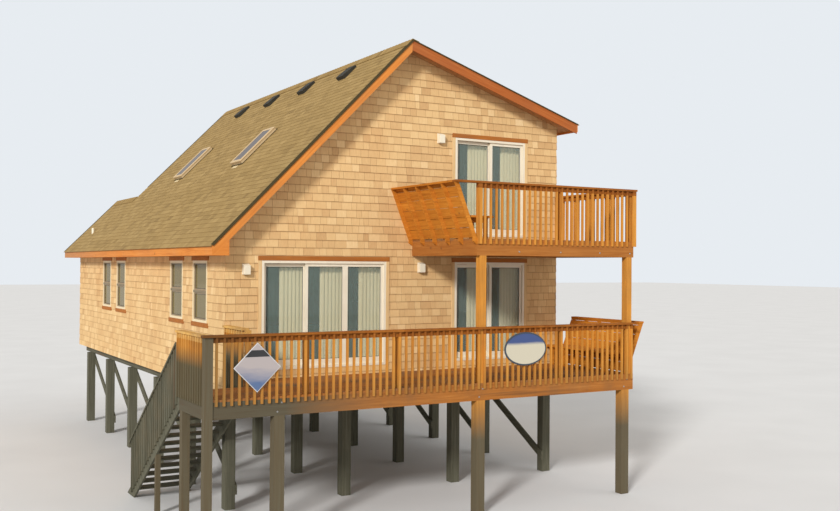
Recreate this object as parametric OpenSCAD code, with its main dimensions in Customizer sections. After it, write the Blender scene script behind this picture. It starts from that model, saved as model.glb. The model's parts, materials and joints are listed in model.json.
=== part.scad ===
// Beach house on timber piles: two storeys under an uneven gable roof, a lower rear wing,
// a wide lower deck with a stair down the left side, and an upper deck over its right half.
// Sizes are taken from the left wall's outer face (X), the front wall's outer face (Y)
// and the foot of the piles (Z). "placed" then centres the whole house on the origin.

/* [House body] */
// Width of the house across the front
house_w = 7800; // [7200:50:9000]
// Depth of the two-storey part, front to back
main_depth = 10600; // [9600:100:12600]
// Depth of the one-storey wing behind it
wing_depth = 2600; // [2000:100:3600]
// Thickness of every outside wall
wall_t = 160; // [120:5:200]
// Height of the walls' lower edge above the foot of the piles
wall_base_z = 2200; // [1900:50:2600]
// Height of the lower storey's floor above the walls' lower edge
floor_above_base = 420; // [400:10:480]
// Height from the lower floor to the upper floor
storey_h = 2670; // [2560:10:2900]
// Thickness of the upper floor
upper_floor_t = 290; // [240:10:320]
// Thickness of the boards on the lower floor's joists
subfloor_t = 30; // [20:2:40]

/* [Roof] */
// Distance of the ridge from the left wall
ridge_x = 3780; // [3400:20:4000]
// Height of the ridge above the foot of the piles
ridge_z = 9260; // [9200:10:9800]
// Rise of the steep left slope for each unit across
left_pitch = 1.016; // [0.98:0.002:1.03]
// Rise of the shallow right slope for each unit across
right_pitch = 0.325; // [0.25:0.005:0.36]
// Thickness of the roof, square to its slope
roof_t = 120; // [90:5:130]
// Reach of the eave past the left wall
left_eave = 384; // [300:4:420]
// Reach of the eave past the right wall
right_eave = 271; // [200:4:360]
// Reach of the roof past the front wall
front_overhang = 388; // [300:4:450]
// Reach of the roof past the rear gable
rear_overhang = 395; // [300:5:450]
// Reach of the wing's roof past its rear wall
wing_overhang = 300; // [200:5:400]
// Distance of the wing's ridge from the left wall
wing_ridge_x = 1136; // [1000:4:1300]
// Rise of the wing's right slope for each unit across
wing_pitch = 0.235; // [0.2:0.005:0.26]
// Width of the rake boards, square to the slope
rake_w = 200; // [160:5:230]
// Thickness of the fascia, rake and soffit boards
trim_t = 22; // [16:1:30]
// Height of the boxed left eave's fascia board, down to its soffit
left_fascia_h = 193; // [185:1:230]
// Height of the right eaves' fascia boards
right_fascia_h = 165; // [140:5:200]

/* [Glazed doors] */
// Distance of the three-panel door from the left wall
wide_door_x = 715; // [600:5:900]
// Width of the three-panel door's opening
wide_door_w = 2700; // [2400:20:2800]
// Distance of both two-panel doors from the left wall
pair_door_x = 5080; // [4700:10:5300]
// Width of both two-panel doors' openings
pair_door_w = 1830; // [1600:10:2000]
// Height of every door opening
door_h = 2110; // [2000:10:2160]
// Visible width of a door's outer frame
door_frame_w = 50; // [40:2:70]
// Depth of a door's outer frame
door_frame_d = 150; // [130:5:170]
// Width of a door panel's stiles
stile_w = 60; // [50:5:110]
// Height of a door panel's bottom rail
bottom_rail_h = 120; // [90:5:160]
// Thickness of a door panel
panel_t = 40; // [34:1:46]
// Gap between the fixed panels and the sliding panel behind them
track_gap = 10; // [8:1:14]
// Gap round a sliding panel's edges
slide_gap = 6; // [5.5:0.5:8]
// Height of the sill's running track
track_h = 12; // [9:1:20]
// Thickness of the door glass
door_glass_t = 18; // [12:1:24]

/* [Windows] */
// Width of a window opening
window_w = 920; // [800:10:1000]
// Height of a window opening
window_h = 1240; // [1000:10:1300]
// Height of a lower window's sill above the lower floor
window_sill_h = 862; // [700:2:900]
// Visible width of a window's frame
window_frame_w = 50; // [40:2:70]
// Thickness of the brown boards over and under the openings
casing_t = 26; // [18:1:34]
// Height of the brown boards over and under the openings
casing_h = 90; // [70:5:90]
// Reach of those boards past each side of an opening
casing_reach = 75; // [50:5:90]

/* [Skylights and roof fittings] */
// Width of a skylight's curb across the slope
skylight_w = 660; // [500:10:900]
// Length of a skylight's curb up the slope
skylight_l = 1140; // [900:10:1300]
// Height of a skylight's curb above the roof
skylight_h = 75; // [60:5:120]
// Thickness of a skylight's curb
skylight_curb_t = 50; // [40:5:80]
// Width of a roof vent's hood
vent_w = 350; // [250:10:400]
// Length of a roof vent's hood up the slope
vent_l = 410; // [300:10:450]
// Height of a roof vent's hood at its open lower end
vent_h = 90; // [60:5:120]
// Diameter of the vent pipe
vent_pipe_d = 75; // [70:5:120]
// Height of the vent pipe above the roof, at its middle
vent_pipe_h = 150; // [100:10:400]

/* [Piles and floor beams] */
// Width of a pile
pile_w = 200; // [180:5:240]
// Number of piles in each row, front to back, spread evenly
pile_rows = 6; // [4:1:8]
// Distance of the first pile's middle from the front wall
first_pile_y = 200; // [180:5:240]
// Distance of the last pile's middle from the rear wall
last_pile_inset = 850; // [200:10:1200]
// Distance of the outer piles from the walls' outer faces
pile_inset = 60; // [20:5:90]
// Depth of the beams on the piles
girder_h = 286; // [240:2:330]
// Width of the beams on the piles
girder_w = 90; // [76:2:130]
// Depth of the floor joists
joist_h = 286; // [240:2:300]
// Thickness of a joist, rim board, stringer or tread board
plank_t = 38; // [32:1:50]
// Distance between joists
joist_pitch = 610; // [400:10:640]

/* [Lower deck] */
// Reach of both decks in front of the house
deck_reach = 2468; // [2200:4:2800]
// Reach of the lower deck to the left of the house
deck_left = 1177; // [1050:1:1300]
// Reach of both decks to the right of the house
deck_right = 97; // [60:1:160]
// Step from the lower floor down to the lower deck
lower_deck_step = 163; // [120:1:200]
// Depth of the decks' rim boards
rim_h = 286; // [240:2:300]
// Thickness of the deck boards
deck_board_t = 38; // [25:1:45]
// Width of a deck board
deck_board_w = 140; // [120:1:180]
// Gap between deck boards
deck_board_gap = 6; // [4:1:10]
// Height of the lower deck's rail above its boards
lower_rail_h = 1049; // [900:1:1100]
// Width of the square posts under the lower deck
big_post_w = 186; // [160:2:200]
// Width of the square posts under the upper deck
small_post_w = 140; // [120:2:150]

/* [Upper deck] */
// Distance of the upper deck's left side from the left wall
upper_deck_x = 4032; // [3700:4:4300]
// Step from the upper floor down to the upper deck
upper_deck_step = 116; // [100:1:150]
// Height of the upper deck's rail above its boards
upper_rail_h = 1074; // [900:1:1100]

/* [Rails and benches] */
// Width of a picket
picket_w = 38; // [30:1:45]
// Distance between pickets
picket_pitch = 130; // [110:1:150]
// Overlap of the pickets on the rim board
picket_lap = 66; // [50:2:120]
// Width of the flat cap on the rails
cap_w = 140; // [120:2:160]
// Width of a rail post
rail_post_w = 89; // [80:1:100]
// Height of the board under the rail cap
top_rail_h = 89; // [70:1:100]
// Sideways lean of the benches' backs over their height
bench_lean = 430; // [350:5:500]
// Height of a bench seat above the deck
bench_seat_h = 430; // [380:5:470]
// Depth of a bench seat
bench_seat_d = 400; // [340:5:450]
// Number of slanted supports on a bench
bench_supports = 6; // [4:1:8]
// Width of a bench's back boards
bench_board_w = 184; // [150:2:210]

/* [Stair] */
// Number of rises from the ground to the lower deck
stair_rises = 13; // [11:1:15]
// Going of each tread
stair_going = 268; // [240:2:300]
// Distance of the stair's head in front of the front wall
stair_head = 1050; // [950:5:1250]
// Depth of a stringer
stringer_h = 286; // [240:2:300]
// Height of the stair rail above the nosings
stair_rail_h = 900; // [820:5:950]

/* [Wall lights] */
// Width of a wall light
light_w = 130; // [100:5:160]
// Height of a wall light
light_h = 200; // [150:5:240]
// Depth of a wall light
light_d = 110; // [80:5:140]

/* [Hidden] */
// Clearance between two pieces that rest on each other but move apart
seat_gap = 0.3;
// Gap at joints on a slant, where rounding would make the two pieces overlap
slant_gap = 0.1;
// Small overlap that makes a cut pass right through
cut = 1;

// Heights of the house
floor_z = wall_base_z + floor_above_base;
upper_z = floor_z + storey_h;
girder_top_z = floor_z - subfloor_t - joist_h;
pile_top_z = girder_top_z - girder_h;
wing_end_y = main_depth + wing_depth;

// Roof lines over a distance x from the left wall
left_drop = roof_t * sqrt(1 + left_pitch * left_pitch);
right_drop = roof_t * sqrt(1 + right_pitch * right_pitch);
wing_drop = roof_t * sqrt(1 + wing_pitch * wing_pitch);
function left_top(x) = ridge_z - (ridge_x - x) * left_pitch;
function right_top(x) = ridge_z - (x - ridge_x) * right_pitch;
function wing_top(x) = left_top(wing_ridge_x) - (x - wing_ridge_x) * wing_pitch;
function left_under(x) = left_top(x) - left_drop;
function right_under(x) = right_top(x) - right_drop;
function wing_under(x) = wing_top(x) - wing_drop;
// Tops of the walls, just under the roof
function left_seat(x) = left_under(x) - slant_gap;
function right_seat(x) = right_under(x) - slant_gap;
function wing_seat(x) = wing_under(x) - slant_gap;
roof_left_x = -left_eave;
roof_right_x = house_w + right_eave;
soffit_z = left_top(roof_left_x - trim_t) - left_fascia_h;

// Doors
fixed_y = 10;
slider_y = fixed_y + panel_t + track_gap;
frame_front_y = -20;
wide_panel_w = (wide_door_w - 2 * door_frame_w) / 3;
pair_panel_w = (pair_door_w - 2 * door_frame_w) / 2;
door_head_z = floor_z + door_h;
upper_door_head_z = upper_z + door_h;

// Middles of the side walls' windows: a pair behind the front wall and a pair before the rear gable
front_pair_ys = [1513, 3142];
rear_pair_insets = [2520, 960];
side_window_ys = concat(front_pair_ys, [for (inset = rear_pair_insets) main_depth - inset]);
rear_window_xs = [2300, 5500];
rear_gable_window_xs = [3900, 5900];
window_sill_z = floor_z + window_sill_h;
upper_sill_lowered = 60;
upper_window_sill_z = upper_z + window_sill_h - upper_sill_lowered;
// The left wall's windows stand right under the soffit, with their head boards between
soffit_clearance = 2;
left_window_sill_z = soffit_z - soffit_clearance - casing_h - window_h;
// The rear gable's windows clear the wing's roof below them
wing_roof_clearance = 125;
rear_gable_sill_z = wing_top(rear_gable_window_xs[0] - window_w / 2) + casing_h + wing_roof_clearance;

// Decks
deck_front_y = -deck_reach;
deck_left_x = -deck_left;
deck_right_x = house_w + deck_right;
lower_deck_z = floor_z - lower_deck_step;
lower_rim_top_z = lower_deck_z - deck_board_t;
lower_rim_z = lower_rim_top_z - rim_h;
upper_deck_z = upper_z - upper_deck_step;
upper_rim_top_z = upper_deck_z - deck_board_t;
upper_rim_z = upper_rim_top_z - rim_h;
lower_cap_z = lower_deck_z + lower_rail_h;
upper_cap_z = upper_deck_z + upper_rail_h;
stair_head_y = -stair_head;
// Reach of the rail cap in front of the rim, which is the house's foremost face
cap_edge = 12;
cap_proud = picket_w + (cap_w - picket_w - rail_post_w) / 2 + cap_edge;

// Reach of a leaning bench's cap past the deck's edge, just over its supports
bench_support_w = 89;
bench_cap_edge = 10;
bench_cap_reach = bench_lean + bench_support_w - bench_cap_edge;

// Outer box of the house, whose middle is the origin
box_x0 = deck_left_x - cap_proud;
box_x1 = deck_right_x + bench_cap_reach;
box_y0 = deck_front_y - cap_proud;
box_y1 = wing_end_y + wing_overhang + trim_t;
mid_x = (box_x0 + box_x1) / 2;
mid_y = (box_y0 + box_y1) / 2;

cedar_shingle = [0.86, 0.68, 0.47];
roof_shingle = [0.42, 0.38, 0.32];
cedar_trim = [0.72, 0.36, 0.16];
deck_wood = [0.78, 0.49, 0.25];
pile_wood = [0.42, 0.42, 0.36];
white_vinyl = [0.93, 0.92, 0.88];
pane = [0.45, 0.55, 0.56];
floor_wood = [0.6, 0.5, 0.38];
dark_metal = [0.15, 0.15, 0.15];

// Moves a shape from the house's corner to the origin
module placed() {
    translate([-mid_x, -mid_y, 0]) children();
}

// Box between two opposite corners
module block(low, high) {
    translate(low) cube(high - low);
}

// Profile drawn across the house (X and Z) and drawn out from y0 to y1
module across(y0, y1) {
    translate([0, y1, 0]) rotate([90, 0, 0]) linear_extrude(y1 - y0) children();
}

// Profile drawn front to back (Y and Z) and drawn out from x0 to x1
module along(x0, x1) {
    translate([x0, 0, 0]) rotate([90, 0, 90]) linear_extrude(x1 - x0) children();
}

// Piles and floors

inner_pile_xs = [for (k = [1, 2]) house_w * k / 3 - pile_w / 2];
pile_pitch = (wing_end_y - last_pile_inset - first_pile_y) / (pile_rows - 1);
// Front faces of the piles
pile_ys = [for (k = [0 : pile_rows - 1]) first_pile_y + k * pile_pitch - pile_w / 2];

module pile_row(x) {
    for (y = pile_ys) translate([x, y, 0]) cube([pile_w, pile_w, pile_top_z]);
}

module house_piles() {
    color(pile_wood) placed()
        for (x = [pile_inset, for (p = inner_pile_xs) p, house_w - pile_inset - pile_w]) pile_row(x);
}

brace_drop = 1500;
brace_h = 184;
brace_below_top = 60;

// One slanted board from high on one pile to low on the next, bolted to their inner faces
module brace_row(x) {
    for (k = [0 : pile_rows - 2]) {
        y0 = pile_ys[k];
        y1 = pile_ys[k + 1] + pile_w;
        top = pile_top_z - brace_below_top;
        along(x, x + plank_t)
            polygon([[y0, top - brace_drop - brace_h], [y1, top - brace_h], [y1, top], [y0, top - brace_drop]]);
    }
}

module pile_braces() {
    color(pile_wood) placed() {
        brace_row(pile_inset + pile_w);
        brace_row(house_w - pile_inset - pile_w - plank_t);
    }
}

module floor_girders() {
    color(pile_wood) placed()
        for (x = [wall_t, for (p = inner_pile_xs) p + (pile_w - girder_w) / 2, house_w - wall_t - girder_w])
            block([x, wall_t, pile_top_z], [x + girder_w, wing_end_y - wall_t, girder_top_z]);
}

// Boards over joists, one piece, so the joists show from below
module ground_floor() {
    inner_l = wing_end_y - 2 * wall_t;
    joists = floor((inner_l - plank_t) / joist_pitch);
    color(floor_wood) placed() {
        block([wall_t, wall_t, floor_z - subfloor_t], [house_w - wall_t, wing_end_y - wall_t, floor_z]);
        for (k = [0 : joists])
            translate([wall_t, wall_t + k * joist_pitch, girder_top_z])
                cube([house_w - 2 * wall_t, plank_t, joist_h]);
    }
}

module upper_floor() {
    color(floor_wood) placed()
        block([wall_t, wall_t, upper_z - upper_floor_t], [house_w - wall_t, main_depth - wall_t, upper_z]);
}

// Walls

module front_sill_wall() {
    color(cedar_shingle) placed() block([0, 0, wall_base_z], [house_w, wall_t, floor_z]);
}

module front_pier(x0, x1) {
    color(cedar_shingle) placed() block([x0, 0, floor_z], [x1, wall_t, door_head_z]);
}

module front_wall_left() {
    front_pier(0, wide_door_x);
}

module front_wall_middle() {
    front_pier(wide_door_x + wide_door_w, pair_door_x);
}

module front_wall_right() {
    front_pier(pair_door_x + pair_door_w, house_w);
}

// Outline of an end wall under the main roof, from height z up
module main_gable_outline(z, x0, x1) {
    polygon([
        [x0, z], [x1, z], [x1, right_seat(x1)],
        [ridge_x, right_seat(ridge_x)], [ridge_x, left_seat(ridge_x)], [x0, left_seat(x0)]
    ]);
}

module front_gable() {
    color(cedar_shingle) placed()
        across(0, wall_t) difference() {
            main_gable_outline(door_head_z, 0, house_w);
            translate([pair_door_x, upper_z]) square([pair_door_w, door_h]);
        }
}

// Row of window holes in a side wall, through x0 to x1
module side_window_holes(x0, x1, middles, sill_z) {
    for (y = middles)
        block([x0 - cut, y - window_w / 2, sill_z], [x1 + cut, y + window_w / 2, sill_z + window_h]);
}

// Row of window holes in an end wall, through y0 to y1
module end_window_holes(y0, y1, middles, sill_z) {
    for (x = middles)
        block([x - window_w / 2, y0 - cut, sill_z], [x + window_w / 2, y1 + cut, sill_z + window_h]);
}

module left_wall() {
    color(cedar_shingle) placed() difference() {
        across(wall_t, wing_end_y - wall_t)
            polygon([
                [0, wall_base_z], [wall_t, wall_base_z], [wall_t, left_seat(wall_t)], [0, left_seat(0)]
            ]);
        side_window_holes(0, wall_t, side_window_ys, left_window_sill_z);
    }
}

module right_wall() {
    x0 = house_w - wall_t;
    color(cedar_shingle) placed() difference() {
        across(wall_t, main_depth)
            polygon([
                [x0, wall_base_z], [house_w, wall_base_z],
                [house_w, right_seat(house_w)], [x0, right_seat(x0)]
            ]);
        side_window_holes(x0, house_w, side_window_ys, window_sill_z);
        side_window_holes(x0, house_w, side_window_ys, upper_window_sill_z);
    }
}

module wing_right_wall() {
    x0 = house_w - wall_t;
    color(cedar_shingle) placed()
        across(main_depth, wing_end_y - wall_t)
            polygon([
                [x0, wall_base_z], [house_w, wall_base_z],
                [house_w, wing_seat(house_w)], [x0, wing_seat(x0)]
            ]);
}

module rear_wall() {
    y0 = wing_end_y - wall_t;
    color(cedar_shingle) placed() difference() {
        across(y0, wing_end_y)
            polygon([
                [0, wall_base_z], [house_w, wall_base_z], [house_w, wing_seat(house_w)],
                [wing_ridge_x, wing_seat(wing_ridge_x)], [wing_ridge_x, left_seat(wing_ridge_x)],
                [0, left_seat(0)]
            ]);
        end_window_holes(y0, wing_end_y, rear_window_xs, window_sill_z);
    }
}

// Upper end wall of the two-storey part, carried between the side walls over the open way
// into the wing
module rear_gable() {
    y0 = main_depth - wall_t;
    color(cedar_shingle) placed() difference() {
        across(y0, main_depth) main_gable_outline(door_head_z, wall_t, house_w - wall_t);
        end_window_holes(y0, main_depth, rear_gable_window_xs, rear_gable_sill_z);
    }
}

// Roof

main_roof_y0 = -front_overhang;
main_roof_y1 = main_depth + rear_overhang;
wing_roof_y1 = wing_end_y + wing_overhang;

module left_slope_outline(x0, x1) {
    polygon([[x0, left_under(x0)], [x1, left_under(x1)], [x1, left_top(x1)], [x0, left_top(x0)]]);
}

skylight_x = 1455;
skylight_ys = [3120, 7640];
left_angle = atan(left_pitch);

// Frame of reference on the left slope: X runs up the slope, Y to the back, Z out of the roof
module on_left_slope(x, y) {
    translate([x, y, left_top(x)]) rotate([0, -left_angle, 0]) children();
}

module skylight_well(shrink) {
    for (y = skylight_ys)
        on_left_slope(skylight_x, y)
            translate([shrink, shrink, -2 * roof_t])
                cube([skylight_l - 2 * shrink, skylight_w - 2 * shrink, 3 * roof_t]);
}

module main_roof_left() {
    color(roof_shingle) placed() difference() {
        across(main_roof_y0, main_roof_y1) left_slope_outline(roof_left_x, ridge_x);
        skylight_well(skylight_curb_t);
    }
}

module main_roof_right() {
    color(roof_shingle) placed()
        across(main_roof_y0, main_roof_y1)
            polygon([
                [ridge_x, right_under(ridge_x)], [roof_right_x, right_under(roof_right_x)],
                [roof_right_x, right_top(roof_right_x)], [ridge_x, ridge_z]
            ]);
}

module wing_roof_left() {
    color(roof_shingle) placed()
        across(main_roof_y1, wing_roof_y1) left_slope_outline(roof_left_x, wing_ridge_x);
}

// The wing's right slope runs in under the main roof's overhang up to the rear gable
module wing_roof_right() {
    color(roof_shingle) placed() difference() {
        across(main_depth, wing_roof_y1)
            polygon([
                [wing_ridge_x, wing_under(wing_ridge_x)], [roof_right_x, wing_under(roof_right_x)],
                [roof_right_x, wing_top(roof_right_x)], [wing_ridge_x, wing_top(wing_ridge_x)]
            ]);
        across(main_depth - cut, main_roof_y1)
            polygon([
                [0, left_seat(0)], [ridge_x, left_seat(ridge_x)], [ridge_x, ridge_z],
                [0, ridge_z]
            ]);
    }
}

// Rake boards hang under the roof line by their width measured plumb
left_rake_trimmed = 30;
left_rake_drop = (rake_w - left_rake_trimmed) * sqrt(1 + left_pitch * left_pitch);
right_rake_drop = rake_w * sqrt(1 + right_pitch * right_pitch);
wing_rake_drop = rake_w * sqrt(1 + wing_pitch * wing_pitch);
function left_rake_low(x) = left_top(x) - left_rake_drop;
// Where the left rake's lower edge meets the level soffit line
rake_heel_x = roof_left_x + (soffit_z - left_rake_low(roof_left_x)) / left_pitch;

module left_rake(y, x1) {
    across(y, y + trim_t)
        polygon([
            [roof_left_x, soffit_z], [rake_heel_x, soffit_z], [x1, left_rake_low(x1)],
            [x1, left_top(x1)], [roof_left_x, left_top(roof_left_x)]
        ]);
}

// The rear board over the wing starts where its lower edge leaves the wing's roof
module left_rake_boards() {
    toe_x = wing_ridge_x + left_rake_drop / (left_pitch + wing_pitch);
    color(cedar_trim) placed() {
        left_rake(main_roof_y0 - trim_t, ridge_x);
        left_rake(wing_roof_y1, wing_ridge_x);
        across(main_roof_y1, main_roof_y1 + trim_t)
            polygon([
                [wing_ridge_x, left_top(wing_ridge_x) + slant_gap], [toe_x, wing_top(toe_x) + slant_gap],
                [ridge_x, left_rake_low(ridge_x)], [ridge_x, ridge_z]
            ]);
    }
}

module right_rake_boards() {
    color(cedar_trim) placed() {
        for (y = [main_roof_y0 - trim_t, main_roof_y1])
            across(y, y + trim_t)
                polygon([
                    [ridge_x, ridge_z - right_rake_drop],
                    [roof_right_x, right_top(roof_right_x) - right_rake_drop],
                    [roof_right_x, right_top(roof_right_x)], [ridge_x, ridge_z]
                ]);
        across(wing_roof_y1, wing_roof_y1 + trim_t)
            polygon([
                [wing_ridge_x, wing_top(wing_ridge_x) - wing_rake_drop],
                [roof_right_x, wing_top(roof_right_x) - wing_rake_drop],
                [roof_right_x, wing_top(roof_right_x)], [wing_ridge_x, wing_top(wing_ridge_x)]
            ]);
    }
}

// Each end of the boxed left eave stops this far short of the wall's face
return_x = -75;

// Board across an end of the boxed eave's gap, under the steep slope
module eave_end(y, x0, x1) {
    across(y, y + trim_t)
        polygon([[x0, soffit_z], [x1, soffit_z], [x1, left_seat(x1)], [x0, left_seat(x0)]]);
}

// Boxed return past a gable: a front board, the board along its inner side, its level underside,
// and the board that closes the eave behind it. The gable's face is at wall_y
module boxed_return(board_y, wall_y) {
    out = board_y < wall_y ? -1 : 1;
    y0 = out < 0 ? board_y + trim_t : wall_y;
    y1 = out < 0 ? wall_y : board_y;
    across(board_y, board_y + trim_t)
        polygon([
            [rake_heel_x + slant_gap, soffit_z], [return_x, soffit_z],
            [return_x, left_rake_low(return_x) - slant_gap]
        ]);
    block([roof_left_x, y0, soffit_z], [return_x, y1, soffit_z + trim_t]);
    block([return_x - trim_t, y0, soffit_z + trim_t], [return_x, y1, left_seat(return_x - trim_t)]);
    eave_end(out < 0 ? wall_y - trim_t : wall_y, return_x, 0);
}

// Fascias, the level underside of the boxed left eave, and the boxed returns at its ends
module eave_boards() {
    left_fascia_top = left_top(roof_left_x - trim_t);
    right_fascia_top = right_top(roof_right_x + trim_t);
    wing_fascia_top = wing_top(roof_right_x + trim_t);
    color(cedar_trim) placed() {
        block([roof_left_x - trim_t, main_roof_y0 - trim_t, soffit_z],
            [roof_left_x, wing_roof_y1 + trim_t, left_fascia_top]);
        block([roof_left_x, 0, soffit_z], [0, wing_end_y, soffit_z + trim_t]);
        boxed_return(main_roof_y0 - trim_t, 0);
        boxed_return(wing_roof_y1, wing_end_y);
        block([roof_right_x, main_roof_y0 - trim_t, right_fascia_top - right_fascia_h],
            [roof_right_x + trim_t, main_roof_y1 + trim_t, right_fascia_top]);
        block([roof_right_x, main_depth, wing_fascia_top - right_fascia_h],
            [roof_right_x + trim_t, wing_roof_y1 + trim_t, wing_fascia_top]);
    }
}

module skylight_curbs() {
    color(cedar_trim) placed()
        for (y = skylight_ys)
            on_left_slope(skylight_x, y) difference() {
                translate([0, 0, slant_gap]) cube([skylight_l, skylight_w, skylight_h]);
                translate([skylight_curb_t, skylight_curb_t, -cut])
                    cube([
                        skylight_l - 2 * skylight_curb_t, skylight_w - 2 * skylight_curb_t,
                        skylight_h + 2 * cut
                    ]);
            }
}

skylight_glass_t = 20;

module skylight_glass() {
    color(pane) placed()
        for (y = skylight_ys)
            on_left_slope(skylight_x, y)
                translate([skylight_curb_t / 2, skylight_curb_t / 2, skylight_h + slant_gap])
                    cube([skylight_l - skylight_curb_t, skylight_w - skylight_curb_t, skylight_glass_t]);
}

vent_x = 3425;
vent_ys = [1880, 4105, 6330, 8555];

// Low hood, open at its lower end and sloping back to the roof, just under the ridge
module roof_vents() {
    color(dark_metal) placed()
        for (y = vent_ys)
            on_left_slope(vent_x, y)
                translate([0, vent_w / 2, 0]) rotate([90, 0, 0]) linear_extrude(vent_w)
                    polygon([
                        [-vent_l / 2, slant_gap], [vent_l / 2, slant_gap], [vent_l / 2, vent_h * 2 / 3],
                        [-vent_l / 4, vent_h], [-vent_l / 2, vent_h]
                    ]);
}

vent_pipe_x = 118;
vent_pipe_y = 12100;

module vent_pipe() {
    x0 = vent_pipe_x - vent_pipe_d;
    x1 = vent_pipe_x + vent_pipe_d;
    color(white_vinyl) placed() difference() {
        translate([vent_pipe_x, vent_pipe_y, left_top(vent_pipe_x) - vent_pipe_d])
            cylinder(d = vent_pipe_d, h = vent_pipe_h + vent_pipe_d, $fn = 48);
        across(vent_pipe_y - vent_pipe_d, vent_pipe_y + vent_pipe_d)
            polygon([
                [x0, left_top(x0) + slant_gap], [x0, 0], [x1, 0], [x1, left_top(x1) + slant_gap]
            ]);
    }
}

// Windows: a frame with a meeting rail, in a local frame with X along the wall and Y into it

window_frame_proud = 20;
window_frame_d = 90;
meeting_rail_h = 50;
window_glass_t = 16;
window_glass_y = 22;

module window_frame() {
    difference() {
        translate([-window_w / 2, -window_frame_proud, 0]) cube([window_w, window_frame_d, window_h]);
        for (low = [0, 1])
            translate([-window_w / 2 + window_frame_w, -window_frame_proud - cut,
                low == 0 ? window_frame_w : (window_h + meeting_rail_h) / 2])
                cube([window_w - 2 * window_frame_w, window_frame_d + 2 * cut,
                    (window_h - meeting_rail_h) / 2 - window_frame_w]);
    }
}

module window_panes() {
    for (low = [0, 1])
        translate([-window_w / 2 + window_frame_w, window_glass_y,
            low == 0 ? window_frame_w : (window_h + meeting_rail_h) / 2])
            cube([window_w - 2 * window_frame_w, window_glass_t, (window_h - meeting_rail_h) / 2 - window_frame_w]);
}

// Boards over and under an opening of width w and height h, on the wall's face
module casing_pair(w, h) {
    for (z = [-casing_h, h])
        translate([-w / 2 - casing_reach, -casing_t, z]) cube([w + 2 * casing_reach, casing_t, casing_h]);
}

// Places its children at every window, with Y running into the wall
module at_windows() {
    for (y = side_window_ys) {
        translate([0, y, left_window_sill_z]) rotate([0, 0, -90]) children();
        for (z = [window_sill_z, upper_window_sill_z])
            translate([house_w, y, z]) rotate([0, 0, 90]) children();
    }
    for (x = rear_window_xs) translate([x, wing_end_y, window_sill_z]) rotate([0, 0, 180]) children();
    for (x = rear_gable_window_xs) translate([x, main_depth, rear_gable_sill_z]) rotate([0, 0, 180]) children();
}

module window_frames() {
    color(white_vinyl) placed() at_windows() window_frame();
}

module window_glass() {
    color(pane) placed() at_windows() window_panes();
}

module door_head_board(x, w, z) {
    translate([x - casing_reach, -casing_t, z]) cube([w + 2 * casing_reach, casing_t, casing_h]);
}

module casing_boards() {
    color(cedar_trim) placed() {
        at_windows() casing_pair(window_w, window_h);
        door_head_board(wide_door_x, wide_door_w, door_head_z);
        door_head_board(pair_door_x, pair_door_w, door_head_z);
        door_head_board(pair_door_x, pair_door_w, upper_door_head_z);
    }
}

// Glazed doors: X along the wall, Y into it, Z up from the floor

fixed_panel_z = door_frame_w + seat_gap;
fixed_panel_h = door_h - 2 * fixed_panel_z;
slider_z = door_frame_w + track_h + seat_gap;
slider_h = door_h - door_frame_w - slider_z - slide_gap;

// Panel frame of width w and height h, with its lower left corner at the origin
module door_panel(w, h) {
    difference() {
        cube([w, panel_t, h]);
        translate([stile_w, -cut, bottom_rail_h])
            cube([w - 2 * stile_w, panel_t + 2 * cut, h - bottom_rail_h - stile_w]);
    }
}

// Pane that rests in the panel's rails, a hair clear of its stiles
module door_pane(w, h) {
    translate([stile_w + slant_gap, (panel_t - door_glass_t) / 2, bottom_rail_h])
        cube([w - 2 * (stile_w + slant_gap), door_glass_t, h - bottom_rail_h - stile_w]);
}

// Outer frame of jambs, head and sill butted together, with fixed panels in every place but
// the first, and the slider's running track on the sill
module door_frame(w, panel_w, panels) {
    for (x = [0, w - door_frame_w])
        translate([x, frame_front_y, 0]) cube([door_frame_w, door_frame_d, door_h]);
    for (z = [0, door_h - door_frame_w])
        translate([door_frame_w + seat_gap, frame_front_y, z])
            cube([w - 2 * (door_frame_w + seat_gap), door_frame_d, door_frame_w]);
    for (k = [1 : panels - 1])
        translate([door_frame_w + k * panel_w + seat_gap, fixed_y, fixed_panel_z])
            door_panel(panel_w - 2 * seat_gap, fixed_panel_h);
    translate([door_frame_w + seat_gap, slider_y + panel_t / 4, door_frame_w])
        cube([w - 2 * (door_frame_w + seat_gap), panel_t / 2, track_h]);
}

slider_lap = 0.5 * stile_w;

// The closed slider's right stile stands behind the first fixed panel's left stile
module slider(panel_w) {
    translate([door_frame_w + slide_gap, slider_y, slider_z])
        door_panel(panel_w - slide_gap + slider_lap, slider_h);
}

module slider_pane(panel_w) {
    translate([door_frame_w + slide_gap, slider_y, slider_z])
        door_pane(panel_w - slide_gap + slider_lap, slider_h);
}

module wide_door_frame() {
    color(white_vinyl) placed()
        translate([wide_door_x, 0, floor_z]) door_frame(wide_door_w, wide_panel_w, 3);
}

module wide_door_slider() {
    color(white_vinyl) placed() translate([wide_door_x, 0, floor_z]) slider(wide_panel_w);
}

module wide_slider_glass() {
    color(pane) placed() translate([wide_door_x, 0, floor_z]) slider_pane(wide_panel_w);
}

module pair_door_frame() {
    color(white_vinyl) placed()
        translate([pair_door_x, 0, floor_z]) door_frame(pair_door_w, pair_panel_w, 2);
}

module pair_door_slider() {
    color(white_vinyl) placed() translate([pair_door_x, 0, floor_z]) slider(pair_panel_w);
}

module pair_slider_glass() {
    color(pane) placed() translate([pair_door_x, 0, floor_z]) slider_pane(pair_panel_w);
}

// The upper door, with its sliding panel shut
module upper_door() {
    color(white_vinyl) placed() translate([pair_door_x, 0, upper_z]) {
        door_frame(pair_door_w, pair_panel_w, 2);
        slider(pair_panel_w);
    }
}

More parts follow.
